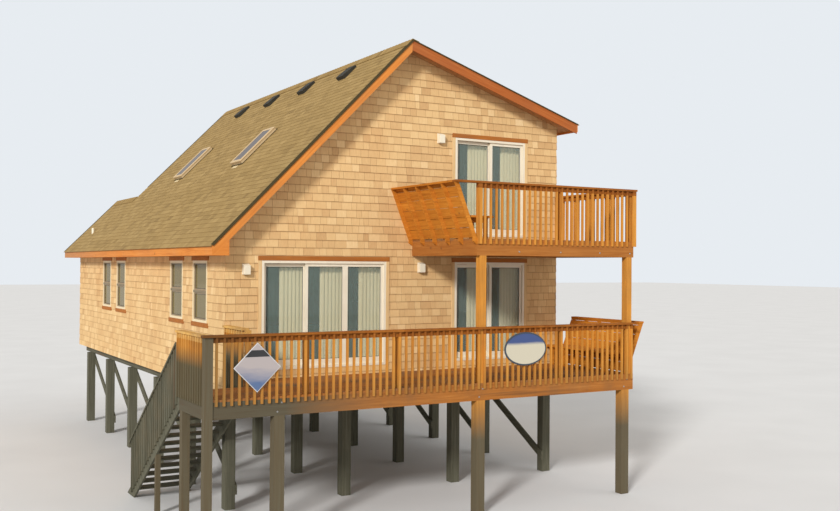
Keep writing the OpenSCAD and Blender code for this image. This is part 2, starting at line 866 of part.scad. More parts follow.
module fixed_door_glass() {
    color(pane) placed() {
        for (k = [1, 2])
            translate([
                wide_door_x + door_frame_w + k * wide_panel_w + seat_gap, fixed_y, floor_z + fixed_panel_z
            ])
                door_pane(wide_panel_w - 2 * seat_gap, fixed_panel_h);
        for (z = [floor_z, upper_z])
            translate([pair_door_x + door_frame_w + pair_panel_w + seat_gap, fixed_y, z + fixed_panel_z])
                door_pane(pair_panel_w - 2 * seat_gap, fixed_panel_h);
        translate([pair_door_x, 0, upper_z]) slider_pane(pair_panel_w);
    }
}

headrail_h = 45;
headrail_d = 60;

// Rails that the vertical blinds hang from, on the inner face of the wall over each door
module blind_headrails() {
    color(white_vinyl) placed()
        for (d = [[wide_door_x, wide_door_w, door_head_z], [pair_door_x, pair_door_w, door_head_z],
                  [pair_door_x, pair_door_w, upper_door_head_z]])
            block([d[0], wall_t, d[2]], [d[0] + d[1], wall_t + headrail_d, d[2] + headrail_h]);
}

light_places = [[390, 4560], [4235, 4610], [4700, 7350]];

module wall_lights() {
    color(white_vinyl) placed()
        for (p = light_places)
            translate([p[0] - light_w / 2, -light_d, p[1] - light_h / 2]) cube([light_w, light_d, light_h]);
}

// Decks

deck_board_pitch = deck_board_w + deck_board_gap;

// Boards along X from x0 to x1, one row for each board pitch from the front edge back to the
// wall, the last one ripped to what is left. Behind y_step the boards start at x_step instead
module deck_rows(x0, x1, y_step, x_step, z) {
    rows = ceil((deck_reach - deck_board_w / 4) / deck_board_pitch);
    for (k = [0 : rows - 1]) {
        y = deck_front_y + k * deck_board_pitch;
        y_end = min(y + deck_board_w, 0);
        block([y_end > y_step ? x_step : x0, y, z], [x1, y_end, z + deck_board_t]);
        if (y < y_step && y_end > y_step) block([x0, y, z], [x_step, y_step, z + deck_board_t]);
    }
}

// Joists from y0 to y1, spread evenly between x0 and x1
module deck_joists(x0, x1, y0, y1, z) {
    count = ceil((x1 - x0 - plank_t) / joist_pitch);
    step = (x1 - x0 - plank_t) / count;
    for (k = [0 : count])
        translate([x0 + k * step, y0, z]) cube([plank_t, y1 - y0, rim_h]);
}

// Corner post of the lower deck, which runs from the ground up to the rail cap
corner_post_proud = 20;
corner_post_x = deck_left_x - corner_post_proud;
corner_post_y = deck_front_y - corner_post_proud;
// Posts under the lower deck: at its left end, under the upper deck's corner, and at its right end
big_post_inset = 10;
right_post_inset = 110;
big_post_xs = [big_post_inset, upper_deck_x + big_post_inset, deck_right_x - right_post_inset - big_post_w];
// Posts under the upper deck, set in from its sides
upper_post_inset = 68;
upper_right_post_inset = 45;
upper_post_xs = [upper_deck_x + upper_post_inset, deck_right_x - upper_right_post_inset - small_post_w];
stair_post_y = stair_head_y - plank_t - small_post_w;

module corner_post() {
    block([corner_post_x, corner_post_y, 0],
        [corner_post_x + small_post_w, corner_post_y + small_post_w, lower_cap_z - plank_t]);
}

module upper_posts() {
    for (x = upper_post_xs)
        block([x, deck_front_y, lower_deck_z], [x + small_post_w, deck_front_y + small_post_w, upper_rim_z]);
}

module deck_posts() {
    color(deck_wood) placed() {
        for (x = big_post_xs)
            block([x, deck_front_y, 0], [x + big_post_w, deck_front_y + big_post_w, lower_rim_z]);
        block([deck_left_x, stair_post_y, 0],
            [deck_left_x + small_post_w, stair_post_y + small_post_w, lower_rim_z]);
        corner_post();
        upper_posts();
        along(deck_left_x, deck_left_x + rail_post_w)
            polygon([
                [stair_prop_y, 0], [stair_prop_y + rail_post_w, 0],
                [stair_prop_y + rail_post_w, stringer_low(stair_prop_y + rail_post_w) - slant_gap],
                [stair_prop_y, stringer_low(stair_prop_y) - slant_gap]
            ]);
    }
}

module lower_deck_frame() {
    color(deck_wood) placed() {
        block([0, deck_front_y, lower_rim_z], [deck_right_x, deck_front_y + plank_t, lower_rim_top_z]);
        block([0, -plank_t, lower_rim_z], [deck_right_x, 0, lower_rim_top_z]);
        deck_joists(0, deck_right_x, deck_front_y, 0, lower_rim_z);
    }
}

// Frame of the landing at the head of the stair, against the main frame's side
module landing_frame() {
    color(deck_wood) placed() difference() {
        union() {
            for (y = [deck_front_y, stair_head_y - plank_t])
                block([deck_left_x, y, lower_rim_z], [0, y + plank_t, lower_rim_top_z]);
            deck_joists(deck_left_x, -joist_pitch + plank_t, deck_front_y, stair_head_y, lower_rim_z);
        }
        corner_post();
    }
}

module lower_deck_boards() {
    color(deck_wood) placed() difference() {
        deck_rows(deck_left_x, deck_right_x, stair_head_y, 0, lower_rim_top_z);
        corner_post();
    }
}

module upper_deck_frame() {
    color(deck_wood) placed() difference() {
        union() {
            block([upper_deck_x, deck_front_y, upper_rim_z],
                [deck_right_x, deck_front_y + plank_t, upper_rim_top_z]);
            block([upper_deck_x, -plank_t, upper_rim_z], [deck_right_x, 0, upper_rim_top_z]);
            deck_joists(upper_deck_x, deck_right_x, deck_front_y, 0, upper_rim_z);
        }
        upper_corner_post();
    }
}

module upper_deck_boards() {
    color(deck_wood) placed() difference() {
        deck_rows(upper_deck_x, deck_right_x, 0, upper_deck_x, upper_rim_top_z);
        upper_corner_post();
    }
}

// Rails

lower_picket_z = lower_rim_top_z - picket_lap;
upper_picket_z = upper_rim_top_z - picket_lap;

// Rail along +X from 0 to len with its outer face on y = 0: pickets in front, a board and a flat
// cap on top, and posts behind. z0 is the pickets' lower end, z1 the cap's top, deck_z the boards.
// The cap runs from cap_from to cap_to, and the board under it from board_from to len. The last
// pickets are left out where posts stand in their place
module rail(len, z0, z1, deck_z, posts, cap_from, cap_to, board_from = 0, left_out = 0) {
    cap_under = z1 - plank_t;
    count = floor((len - picket_w) / picket_pitch);
    first = (len - picket_w - count * picket_pitch) / 2;
    for (k = [0 : count - left_out])
        translate([first + k * picket_pitch, -picket_w, z0]) cube([picket_w, picket_w, cap_under - z0]);
    translate([board_from, 0, cap_under - top_rail_h]) cube([len - board_from, plank_t, top_rail_h]);
    translate([cap_from, -cap_proud, cap_under]) cube([cap_to - cap_from, cap_w, plank_t]);
    for (x = posts)
        translate([x, plank_t, deck_z]) cube([rail_post_w, rail_post_w, cap_under - deck_z]);
}

lower_rail_x0 = corner_post_x + small_post_w;
lower_rail_post_xs = [560, 2360, 6010];
// Side caps start behind the front caps
side_cap_y = deck_front_y - cap_proud + cap_w;

module lower_front_rail() {
    color(deck_wood) placed() difference() {
        translate([lower_rail_x0, deck_front_y, 0])
            rail(deck_right_x - lower_rail_x0, lower_picket_z, lower_cap_z, lower_deck_z,
                [for (x = lower_rail_post_xs) x - lower_rail_x0],
                deck_left_x - cap_proud - lower_rail_x0, deck_right_x + cap_proud - lower_rail_x0);
        upper_posts();
    }
}

left_rail_y0 = corner_post_y + small_post_w;
left_rail_y1 = stair_head_y + rail_post_w;

// Rail along the landing's left edge, and the guard between the deck and the stairwell
module lower_side_rails() {
    rail_l = left_rail_y1 - left_rail_y0;
    color(deck_wood) placed() {
        translate([deck_left_x, left_rail_y1, 0]) rotate([0, 0, -90])
            rail(rail_l, lower_picket_z, lower_cap_z, lower_deck_z,
                [2 * rail_post_w], 0, left_rail_y1 - side_cap_y);
        rotate([0, 0, -90])
            rail(stair_head, lower_picket_z, lower_cap_z, lower_deck_z,
                [0, stair_head - rail_post_w], 0, stair_head);
    }
}

// Corner post of the upper deck, which takes the place of the rim's corner
upper_corner_y = deck_front_y - picket_w;

module upper_corner_post() {
    block([upper_deck_x, upper_corner_y, upper_picket_z],
        [upper_deck_x + rail_post_w, upper_corner_y + rail_post_w, upper_cap_z - plank_t]);
}

// Post that wraps round the rim's right corner
module upper_end_post() {
    x1 = deck_right_x + cap_proud - cap_edge;
    y0 = deck_front_y - picket_w;
    z1 = upper_cap_z - plank_t;
    block([x1 - rail_post_w, y0, upper_picket_z], [x1, deck_front_y, z1]);
    block([deck_right_x, y0, upper_picket_z], [x1, y0 + rail_post_w, z1]);
}

upper_rail_post_x = 6000;

module upper_front_rail() {
    x0 = upper_deck_x + rail_post_w;
    color(deck_wood) placed() {
        upper_corner_post();
        upper_end_post();
        translate([x0, deck_front_y, 0])
            rail(deck_right_x - x0, upper_picket_z, upper_cap_z, upper_deck_z,
                [upper_rail_post_x - x0, deck_right_x - x0 - rail_post_w],
                -rail_post_w - bench_cap_reach, deck_right_x + cap_proud - x0, left_out = 1);
    }
}

// Its board starts behind the front rail's last post
module upper_right_rail() {
    rail_l = -side_cap_y;
    board_from = deck_front_y + plank_t + rail_post_w - side_cap_y;
    color(deck_wood) placed()
        translate([deck_right_x, side_cap_y, 0]) rotate([0, 0, 90])
            rail(rail_l, upper_picket_z, upper_cap_z, upper_deck_z,
                [rail_l / 2, rail_l - rail_post_w], 0, rail_l, board_from);
}

// Benches

bench_board_gap = 8;
bench_board_z = 16;
// Lower ends of the supports on the rim: how far under the deck's top they start and end
bench_foot_h = 120;
bench_foot_edge_h = 55;
bench_seat_boards = 3;
// Depth that boards are let into what carries them on a slant
let_in = 4;
function support_step(back_l) = (back_l - plank_t) / (bench_supports - 1);
// Outward lean for each unit of height above the deck
function bench_slope(deck_z, cap_z) = bench_lean / (cap_z - deck_z);

// Board between two heights, let into the supports' inner faces
module bench_plank(board_l, z0, z1, slope, deck_z) {
    corners = [[-let_in, z0], [plank_t - let_in, z0], [plank_t - let_in, z1], [-let_in, z1]];
    along(0, board_l)
        polygon([for (c = corners) [c[0] - slope * (c[1] - deck_z), c[1]]]);
}

// Bench back that leans out over the deck's edge, in a local frame: X runs from the house along
// the edge, Y = 0 is the rim's outer face and the deck lies at positive Y. The supports are spread
// over back_l, and the boards go up to the cap, with the last one cut to fit
module bench_back(board_l, back_l, cap_l, deck_z, cap_z) {
    step = support_step(back_l);
    cap_under = cap_z - plank_t;
    slope = bench_slope(deck_z, cap_z);
    reach = slope * (cap_under - deck_z);
    for (k = [0 : bench_supports - 1])
        along(k * step, k * step + plank_t)
            polygon([
                [0, deck_z - bench_foot_h], [0, deck_z], [-reach, cap_under],
                [-reach - bench_support_w, cap_under], [-bench_support_w, deck_z],
                [-bench_support_w, deck_z - bench_foot_edge_h]
            ]);
    pitch = bench_board_w + bench_board_gap;
    first_z = deck_z + bench_board_z;
    last_z = cap_under - slant_gap;
    for (k = [0 : ceil((last_z - first_z) / pitch) - 1]) {
        z = first_z + k * pitch;
        bench_plank(board_l, z, min(z + bench_board_w, last_z), slope, deck_z);
    }
    translate([0, -bench_cap_reach, cap_under]) cube([cap_l, cap_w, plank_t]);
}

// Seat boards on arms and legs that stand between the back's supports
module bench_seat(board_l, back_l, deck_z, cap_z) {
    step = support_step(back_l);
    slope = bench_slope(deck_z, cap_z);
    seat_z = deck_z + bench_seat_h;
    arm_top = seat_z - plank_t;
    arm_low = arm_top - bench_support_w;
    leg_y = bench_seat_d - bench_support_w;
    function back(z) = plank_t - slope * (z - deck_z);
    for (k = [0 : bench_supports - 2]) {
        x = (k + 0.5) * step;
        along(x, x + plank_t)
            polygon([
                [back(arm_low), arm_low], [back(arm_top), arm_top], [bench_seat_d, arm_top],
                [bench_seat_d, deck_z], [leg_y, deck_z], [leg_y, arm_low]
            ]);
    }
    first_y = back(arm_top) + bench_board_gap;
    board_w = (bench_seat_d - first_y - (bench_seat_boards - 1) * bench_board_gap) / bench_seat_boards;
    for (k = [0 : bench_seat_boards - 1])
        translate([0, first_y + k * (board_w + bench_board_gap), arm_top]) cube([board_l, board_w, plank_t]);
}

// The upper back's boards stop short of the post at the deck's front corner, and the lower back
// starts behind the tall post there
upper_bench_l = -upper_corner_y - rail_post_w;
lower_bench_setback = 240;
lower_bench_l = deck_reach - lower_bench_setback;

module at_upper_bench() {
    translate([upper_deck_x, 0, 0]) rotate([0, 0, -90]) children();
}

// The same bench on the other side, so mirrored
module at_lower_bench() {
    translate([deck_right_x, 0, 0]) mirror([1, 0, 0]) rotate([0, 0, -90]) children();
}

module upper_bench_back() {
    color(deck_wood) placed() at_upper_bench()
        bench_back(upper_bench_l, deck_reach, -side_cap_y, upper_deck_z, upper_cap_z);
}

module upper_bench_seat() {
    color(deck_wood) placed() at_upper_bench()
        bench_seat(upper_bench_l, deck_reach, upper_deck_z, upper_cap_z);
}

module lower_bench_back() {
    color(deck_wood) placed() at_lower_bench()
        bench_back(
            lower_bench_l, lower_bench_l, lower_bench_l + bench_cap_edge, lower_deck_z, lower_cap_z
        );
}

module lower_bench_seat() {
    color(deck_wood) placed() at_lower_bench()
        bench_seat(lower_bench_l, lower_bench_l, lower_deck_z, lower_cap_z);
}

// Stair

stair_rise = lower_deck_z / stair_rises;
stair_slope = stair_rise / stair_going;
stair_angle = atan(stair_slope);
stringer_drop = stringer_h / cos(stair_angle);
function nosing_z(y) = lower_deck_z - (y - stair_head_y) * stair_slope;
function stringer_low(y) = nosing_z(y) + nosing_cover - stringer_drop;
// Prop under the outer stringer
stair_prop_y = 380;
stair_foot_y = stair_head_y + lower_deck_z / stair_slope;
stair_inner_x = -60;
nosing_cover = 20;
tread_gap = 4;

// Slanted plank with a plumb cut at its head and a level cut on the ground
module stringer(x) {
    along(x, x + plank_t)
        polygon([
            [stair_head_y, lower_rim_top_z],
            [stair_head_y + (lower_deck_z + nosing_cover - lower_rim_top_z) / stair_slope, lower_rim_top_z],
            [stair_foot_y + nosing_cover / stair_slope, 0],
            [stair_foot_y + (nosing_cover - stringer_drop) / stair_slope, 0],
            [stair_head_y, stringer_low(stair_head_y)]
        ]);
}

module stair_stringers() {
    color(deck_wood) placed() {
        stringer(deck_left_x);
        stringer(stair_inner_x - plank_t);
    }
}

module stair_treads() {
    color(deck_wood) placed()
        for (k = [1 : stair_rises - 1])
            block([deck_left_x + plank_t, stair_head_y + (k - 1) * stair_going + tread_gap,
                    lower_deck_z - k * stair_rise - plank_t],
                [stair_inner_x - plank_t, stair_head_y + k * stair_going, lower_deck_z - k * stair_rise]);
}

// Band from y0 to y1 between two heights above the nosings
module slanted_band(y0, y1, low, high) {
    polygon([
        [y0, nosing_z(y0) + low], [y1, nosing_z(y1) + low],
        [y1, nosing_z(y1) + high], [y0, nosing_z(y0) + high]
    ]);
}

// Rail on the stair's outer side: pickets stand on the stringer's outer face
module stair_rail() {
    y0 = left_rail_y1;
    y1 = stair_foot_y - stair_going;
    count = floor((y1 - y0 - picket_w) / picket_pitch);
    cap_low = stair_rail_h - plank_t / cos(stair_angle);
    board_low = cap_low - top_rail_h / cos(stair_angle);
    board_top = cap_low + let_in;
    color(deck_wood) placed() {
        for (k = [0 : count])
            along(deck_left_x - picket_w, deck_left_x)
                slanted_band(y0 + k * picket_pitch, y0 + k * picket_pitch + picket_w,
                    -stringer_drop / 2, board_top);
        along(deck_left_x, deck_left_x + plank_t) slanted_band(y0, y1, board_low, board_top);
        along(deck_left_x - cap_proud, deck_left_x - cap_proud + cap_w)
            slanted_band(y0, y1, cap_low, stair_rail_h);
    }
}

house_piles();
pile_braces();
floor_girders();
ground_floor();
upper_floor();
front_sill_wall();
front_wall_left();
front_wall_middle();
front_wall_right();
front_gable();
left_wall();
right_wall();
wing_right_wall();
rear_wall();
rear_gable();
main_roof_left();
main_roof_right();
wing_roof_left();
wing_roof_right();
left_rake_boards();
right_rake_boards();
eave_boards();
skylight_curbs();
skylight_glass();
roof_vents();
vent_pipe();
window_frames();
window_glass();
casing_boards();
wide_door_frame();
wide_door_slider();
wide_slider_glass();
pair_door_frame();
pair_door_slider();
pair_slider_glass();
upper_door();
fixed_door_glass();
blind_headrails();
wall_lights();
deck_posts();
lower_deck_frame();
landing_frame();
lower_deck_boards();
lower_front_rail();
lower_side_rails();
lower_bench_back();
lower_bench_seat();
upper_deck_frame();
upper_deck_boards();
upper_front_rail();
upper_right_rail();
upper_bench_back();
upper_bench_seat();
stair_stringers();
stair_treads();
stair_rail();
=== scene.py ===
"""Looks of a shingled beach house on timber piles.

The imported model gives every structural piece. This script lays the wall and roof shingles,
dresses the doors, windows, decks and fittings, and finishes each piece with a procedural
material. Lengths are in metres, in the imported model's frame.
"""

import json
import logging
import math
import random
from dataclasses import dataclass, field
from enum import Enum
from typing import Callable, Iterable, Optional, Sequence, Union

import bpy
import numpy as np
from mathutils import Matrix, Vector

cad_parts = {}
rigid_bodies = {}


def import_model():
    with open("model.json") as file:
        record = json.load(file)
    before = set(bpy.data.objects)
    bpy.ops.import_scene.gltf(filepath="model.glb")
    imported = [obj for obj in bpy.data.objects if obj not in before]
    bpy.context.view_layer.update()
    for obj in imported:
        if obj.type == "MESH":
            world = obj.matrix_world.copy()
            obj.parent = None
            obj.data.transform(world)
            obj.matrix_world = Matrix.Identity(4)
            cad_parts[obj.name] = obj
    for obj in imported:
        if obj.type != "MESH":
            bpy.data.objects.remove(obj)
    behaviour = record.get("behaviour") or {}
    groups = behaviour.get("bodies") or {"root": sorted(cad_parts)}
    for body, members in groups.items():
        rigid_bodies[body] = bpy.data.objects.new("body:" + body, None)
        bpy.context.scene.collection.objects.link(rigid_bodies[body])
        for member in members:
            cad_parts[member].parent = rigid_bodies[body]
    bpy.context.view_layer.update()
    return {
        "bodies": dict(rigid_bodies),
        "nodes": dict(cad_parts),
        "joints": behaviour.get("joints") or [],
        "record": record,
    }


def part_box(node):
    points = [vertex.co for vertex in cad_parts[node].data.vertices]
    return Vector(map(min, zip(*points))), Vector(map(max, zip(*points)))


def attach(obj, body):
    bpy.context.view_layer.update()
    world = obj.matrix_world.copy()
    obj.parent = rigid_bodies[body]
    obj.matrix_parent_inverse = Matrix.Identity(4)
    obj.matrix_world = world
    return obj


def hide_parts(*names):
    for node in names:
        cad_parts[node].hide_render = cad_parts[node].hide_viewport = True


log = logging.getLogger("beach_house")

Rect = tuple[float, float, float, float]
Size = tuple[float, float, float]
Colour = tuple[float, float, float]
Tones = tuple[tuple[float, Colour], ...]
Socket = bpy.types.NodeSocket
Amount = Union[float, Socket]
Shade = Union[Colour, Socket]

UNTURNED = (0.0, 0.0, 0.0)
FACING_FRONT = (math.pi / 2, 0.0, 0.0)
EVEN = (1.0, 1.0, 1.0)
X_AXIS = Vector((1, 0, 0))
Y_AXIS = Vector((0, 1, 0))
Z_AXIS = Vector((0, 0, 1))
ALONG_GRAIN = 1.0
ACROSS_GRAIN = 26.0


class Body(Enum):
    """The moving bodies of the house."""

    HOUSE = "house"
    WIDE_SLIDER = "wide_slider"
    PAIR_SLIDER = "pair_slider"


class Slot(Enum):
    """The record's material slots, named along with each new piece."""

    WALL = "wall_shingles"
    ROOF = "roof_shingles"
    TRIM = "cedar_trim"
    VINYL = "white_vinyl"
    VENT = "vent_metal"
    LAMP = "lamp_housing"


class Grain(Enum):
    """Direction of a board's grain, as the scale of its pattern on each axis."""

    X = (ALONG_GRAIN, ACROSS_GRAIN, ACROSS_GRAIN)
    Y = (ACROSS_GRAIN, ALONG_GRAIN, ACROSS_GRAIN)
    Z = (ACROSS_GRAIN, ACROSS_GRAIN, ALONG_GRAIN)


# Modelling tools


class Bench:
    """Hand tools that start a piece, shape it and put it on a body."""

    @staticmethod
    def clear() -> None:
        """Leave edit mode and deselect everything."""
        if bpy.context.object and bpy.context.object.mode != "OBJECT":
            bpy.ops.object.mode_set(mode="OBJECT")
        bpy.ops.object.select_all(action="DESELECT")

    @staticmethod
    def take(piece: bpy.types.Object) -> None:
        """Make one piece the only one selected and active.

        Args:
            piece: The piece to work on.
        """
        Bench.clear()
        piece.select_set(True)
        bpy.context.view_layer.objects.active = piece

    @staticmethod
    def settle(name: str) -> bpy.types.Object:
        """Name the active piece and move its place into its mesh.

        Args:
            name: Name of the piece and its mesh.

        Returns:
            The piece, with its object at the origin.
        """
        piece = bpy.context.object
        piece.name = name
        piece.data.name = name
        bpy.ops.object.transform_apply(location=True, rotation=True, scale=True)
        return piece

    @staticmethod
    def board(name: str, centre: Vector, size: Size, turn: Size = UNTURNED,
              round_off: float = 0.003) -> bpy.types.Object:
        """Cut a board with eased edges.

        Args:
            name: Name of the piece.
            centre: Middle of the board.
            size: Its size along X, Y and Z before it is turned.
            turn: Rotation about X, Y and Z, in radians.
            round_off: Width of the eased edges.

        Returns:
            The board, with its place in its mesh.
        """
        Bench.clear()
        bpy.ops.mesh.primitive_cube_add(size=1.0, location=centre, rotation=turn, scale=size)
        piece = Bench.settle(name)
        if round_off > 0.0:
            Bench.modify(piece, "BEVEL", width=round_off, segments=1, limit_method="ANGLE")
        return piece

    @staticmethod
    def modify(piece: bpy.types.Object, kind: str, **settings: object) -> None:
        """Add a modifier to a piece and apply it.

        Args:
            piece: The piece to change.
            kind: Blender's name of the modifier.
            **settings: Values of the modifier.
        """
        Bench.take(piece)
        modifier = piece.modifiers.new(kind.lower(), kind)
        for key, value in settings.items():
            setattr(modifier, key, value)
        bpy.ops.object.modifier_apply(modifier=modifier.name)

    @staticmethod
    def join(name: str, pieces: Sequence[bpy.types.Object]) -> bpy.types.Object:
        """Join pieces into one object.

        Args:
            name: Name of the joined piece.
            pieces: The pieces, which are used up.

        Returns:
            The joined piece.
        """
        Bench.take(pieces[0])
        for piece in pieces:
            piece.select_set(True)
        bpy.ops.object.join()
        return Bench.settle(name)

    @staticmethod
    def copy(piece: bpy.types.Object, shift: Vector) -> bpy.types.Object:
        """Copy a piece with a mesh of its own.

        Args:
            piece: The pattern, which stays.
            shift: How far the copy lies from it.

        Returns:
            The copy.
        """
        twin = piece.copy()
        twin.data = piece.data.copy()
        bpy.context.scene.collection.objects.link(twin)
        twin.data.transform(Matrix.Translation(shift))
        return twin

    @staticmethod
    def trim(piece: bpy.types.Object, point: Vector, normal: Vector) -> None:
        """Saw off all of a piece that lies beyond a plane, and close the cut.

        Args:
            piece: The piece to saw.
            point: A point of the plane.
            normal: Direction in which the waste lies.
        """
        Bench.take(piece)
        bpy.ops.object.mode_set(mode="EDIT")
        bpy.ops.mesh.select_all(action="SELECT")
        bpy.ops.mesh.bisect(plane_co=point, plane_no=normal, use_fill=True, clear_outer=True)
        bpy.ops.object.mode_set(mode="OBJECT")

    @staticmethod
    def pick_faces(piece: bpy.types.Object, test: Callable[[bpy.types.MeshPolygon], bool]) -> None:
        """Enter edit mode with only some faces selected.

        Args:
            piece: The piece to work on.
            test: Says of a face whether it is selected.
        """
        Bench.take(piece)
        bpy.ops.object.mode_set(mode="EDIT")
        bpy.ops.mesh.select_mode(type="FACE")
        bpy.ops.mesh.select_all(action="DESELECT")
        bpy.ops.object.mode_set(mode="OBJECT")
        for face in piece.data.polygons:
            face.select = test(face)
        bpy.ops.object.mode_set(mode="EDIT")

    @staticmethod
    def ring(name: str, centre: Vector, width: float, height: float, bar: float, depth: float,
             turn: Size) -> bpy.types.Object:
        """Make a flat rectangular ring, such as a sash or a gasket.

        Args:
            name: Name of the piece.
            centre: Middle of the ring.
            width: Outer width, along X before it is turned.
            height: Outer height, along Y before it is turned.
            bar: Width of the ring's bars.
            depth: Thickness, centred on the plane.
            turn: Rotation about X, Y and Z, in radians.

        Returns:
            The ring, with its place in its mesh.
        """
        Bench.clear()
        bpy.ops.mesh.primitive_plane_add(size=1.0, location=centre, rotation=turn)
        bpy.context.object.scale = (width, height, 1.0)
        piece = Bench.settle(name)
        Bench.pick_faces(piece, lambda face: True)
        bpy.ops.mesh.inset(thickness=bar, depth=0.0)
        bpy.ops.mesh.delete(type="FACE")
        bpy.ops.object.mode_set(mode="OBJECT")
        Bench.modify(piece, "SOLIDIFY", thickness=depth, offset=0.0)
        return piece

    @staticmethod
    def hand_over(piece: bpy.types.Object, finish: "Finish", slot: Slot,
                  body: Body = Body.HOUSE) -> None:
        """Give a finished piece its material and its body.

        Args:
            piece: The finished piece.
            finish: What it is finished with.
            slot: The record's slot that the finish belongs to. Not used.
            body: The body that carries it.
        """
        piece.data.materials.clear()
        piece.data.materials.append(finish.material())
        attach(piece, body.value)
        log.info("%s: %d faces", piece.name, len(piece.data.polygons))


# Materials


def scaled(colour: Colour, by: Colour) -> Colour:
    """A colour with each of its parts multiplied."""
    return tuple(factor * part for factor, part in zip(by, colour))


def shaded(tones: Tones, by: Colour) -> Tones:
    """Tones with each colour multiplied by another."""
    return tuple((place, scaled(colour, by)) for place, colour in tones)


class NodeSketch:
    """Draws one material's nodes."""

    MIX_AMOUNT = 0
    MIX_FIRST = 6
    MIX_SECOND = 7
    MIX_COLOUR = 2

    def __init__(self, name: str) -> None:
        """Start an empty material with an output.

        Args:
            name: Name of the material.
        """
        self.material = bpy.data.materials.new(name)
        self.material.use_nodes = True
        self.tree = self.material.node_tree
        self.tree.nodes.clear()
        self.output = self.tree.nodes.new("ShaderNodeOutputMaterial")

    def node(self, kind: str, **settings: object) -> bpy.types.Node:
        """Add a node.

        Args:
            kind: Blender's name of the node.
            **settings: Properties of the node.

        Returns:
            The node.
        """
        made = self.tree.nodes.new(kind)
        for key, value in settings.items():
            setattr(made, key, value)
        return made

    def feed(self, socket: Socket, value: object) -> None:
        """Link a socket to another one, or set its value.

        Args:
            socket: The socket that takes the value.
            value: Another socket, or a plain value.
        """
        if isinstance(value, Socket):
            self.tree.links.new(value, socket)
        else:
            socket.default_value = value

    def paint(self, socket: Socket, colour: Shade) -> None:
        """Link a colour socket to another one, or set its colour."""
        self.feed(socket, colour if isinstance(colour, Socket) else (*colour, 1.0))

    def place(self, scale: Size = EVEN, turn: Size = UNTURNED) -> Socket:
        """Read Object coordinates, turned and then scaled.

        Args:
            scale: How fine the pattern is on each axis.
            turn: Rotation about X, Y and Z, in radians.

        Returns:
            The coordinates.
        """
        coords = self.node("ShaderNodeTexCoord").outputs["Object"]
        if turn != UNTURNED:
            spin = self.node("ShaderNodeMapping")
            self.feed(spin.inputs["Vector"], coords)
            spin.inputs["Rotation"].default_value = turn
            coords = spin.outputs["Vector"]
        mapping = self.node("ShaderNodeMapping")
        self.feed(mapping.inputs["Vector"], coords)
        mapping.inputs["Scale"].default_value = scale
        return mapping.outputs["Vector"]

    def noise(self, vector: Socket, scale: float, detail: float = 4.0, roughness: float = 0.55,
              distortion: float = 0.0) -> Socket:
        """Add noise over a vector.

        Args:
            vector: Where the noise is read.
            scale: How fine it is.
            detail: How many finer layers it has.
            roughness: How strong the finer layers are.
            distortion: How far it is warped.

        Returns:
            A value from 0 to 1.
        """
        made = self.node("ShaderNodeTexNoise")
        self.feed(made.inputs["Vector"], vector)
        made.inputs["Scale"].default_value = scale
        made.inputs["Detail"].default_value = detail
        made.inputs["Roughness"].default_value = roughness
        made.inputs["Distortion"].default_value = distortion
        return made.outputs["Fac"]

    def ramp(self, value: Socket, stops: Tones) -> Socket:
        """Give a value colours.

        Args:
            value: A value from 0 to 1.
            stops: The colour at each place along it.

        Returns:
            The colour.
        """
        made = self.node("ShaderNodeValToRGB")
        self.feed(made.inputs["Fac"], value)
        bar = made.color_ramp.elements
        while len(bar) < len(stops):
            bar.new(0.5)
        for element, (position, colour) in zip(bar, stops):
            element.position = position
            element.color = (*colour, 1.0)
        return made.outputs["Color"]

    def mix(self, amount: Amount, first: Shade, second: Shade, blend: str = "MIX") -> Socket:
        """Mix two colours.

        Args:
            amount: Share of the second colour.
            first: The colour under it.
            second: The colour that is laid over.
            blend: Blender's name of the way that they mix.

        Returns:
            The mixed colour.
        """
        made = self.node("ShaderNodeMix", data_type="RGBA", blend_type=blend)
        self.feed(made.inputs[self.MIX_AMOUNT], amount)
        self.paint(made.inputs[self.MIX_FIRST], first)
        self.paint(made.inputs[self.MIX_SECOND], second)
        return made.outputs[self.MIX_COLOUR]

    def span(self, value: Socket, low: float, high: float, to_low: float = 0.0,
             to_high: float = 1.0) -> Socket:
        """Map a value's range onto another, clamped.

        Args:
            value: The value to map.
            low: Where its range starts.
            high: Where its range ends.
            to_low: What the start becomes.
            to_high: What the end becomes.

        Returns:
            The mapped value.
        """
        made = self.node("ShaderNodeMapRange")
        self.feed(made.inputs["Value"], value)
        made.inputs["From Min"].default_value = low
        made.inputs["From Max"].default_value = high
        made.inputs["To Min"].default_value = to_low
        made.inputs["To Max"].default_value = to_high
        return made.outputs["Result"]

    def sum(self, operation: str, first: Amount, second: Amount) -> Socket:
        """Work out one arithmetic step.

        Args:
            operation: Blender's name of the step.
            first: The first value.
            second: The second value.

        Returns:
            The result.
        """
        made = self.node("ShaderNodeMath", operation=operation)
        self.feed(made.inputs[0], first)
        self.feed(made.inputs[1], second)
        return made.outputs[0]

    def axis(self, name: str) -> Socket:
        """Read one Object coordinate.

        Args:
            name: X, Y or Z.

        Returns:
            The coordinate.
        """
        split = self.node("ShaderNodeSeparateXYZ")
        self.feed(split.inputs[0], self.node("ShaderNodeTexCoord").outputs["Object"])
        return split.outputs[name]

    def sideways(self, least: float = 0.6) -> Socket:
        """Find the faces that look along X.

        Args:
            least: The least part of the normal that lies along X.

        Returns:
            1 on such faces and 0 elsewhere.
        """
        split = self.node("ShaderNodeSeparateXYZ")
        self.feed(split.inputs[0], self.node("ShaderNodeNewGeometry").outputs["Normal"])
        return self.sum("GREATER_THAN", self.sum("ABSOLUTE", split.outputs["X"], 0.0), least)

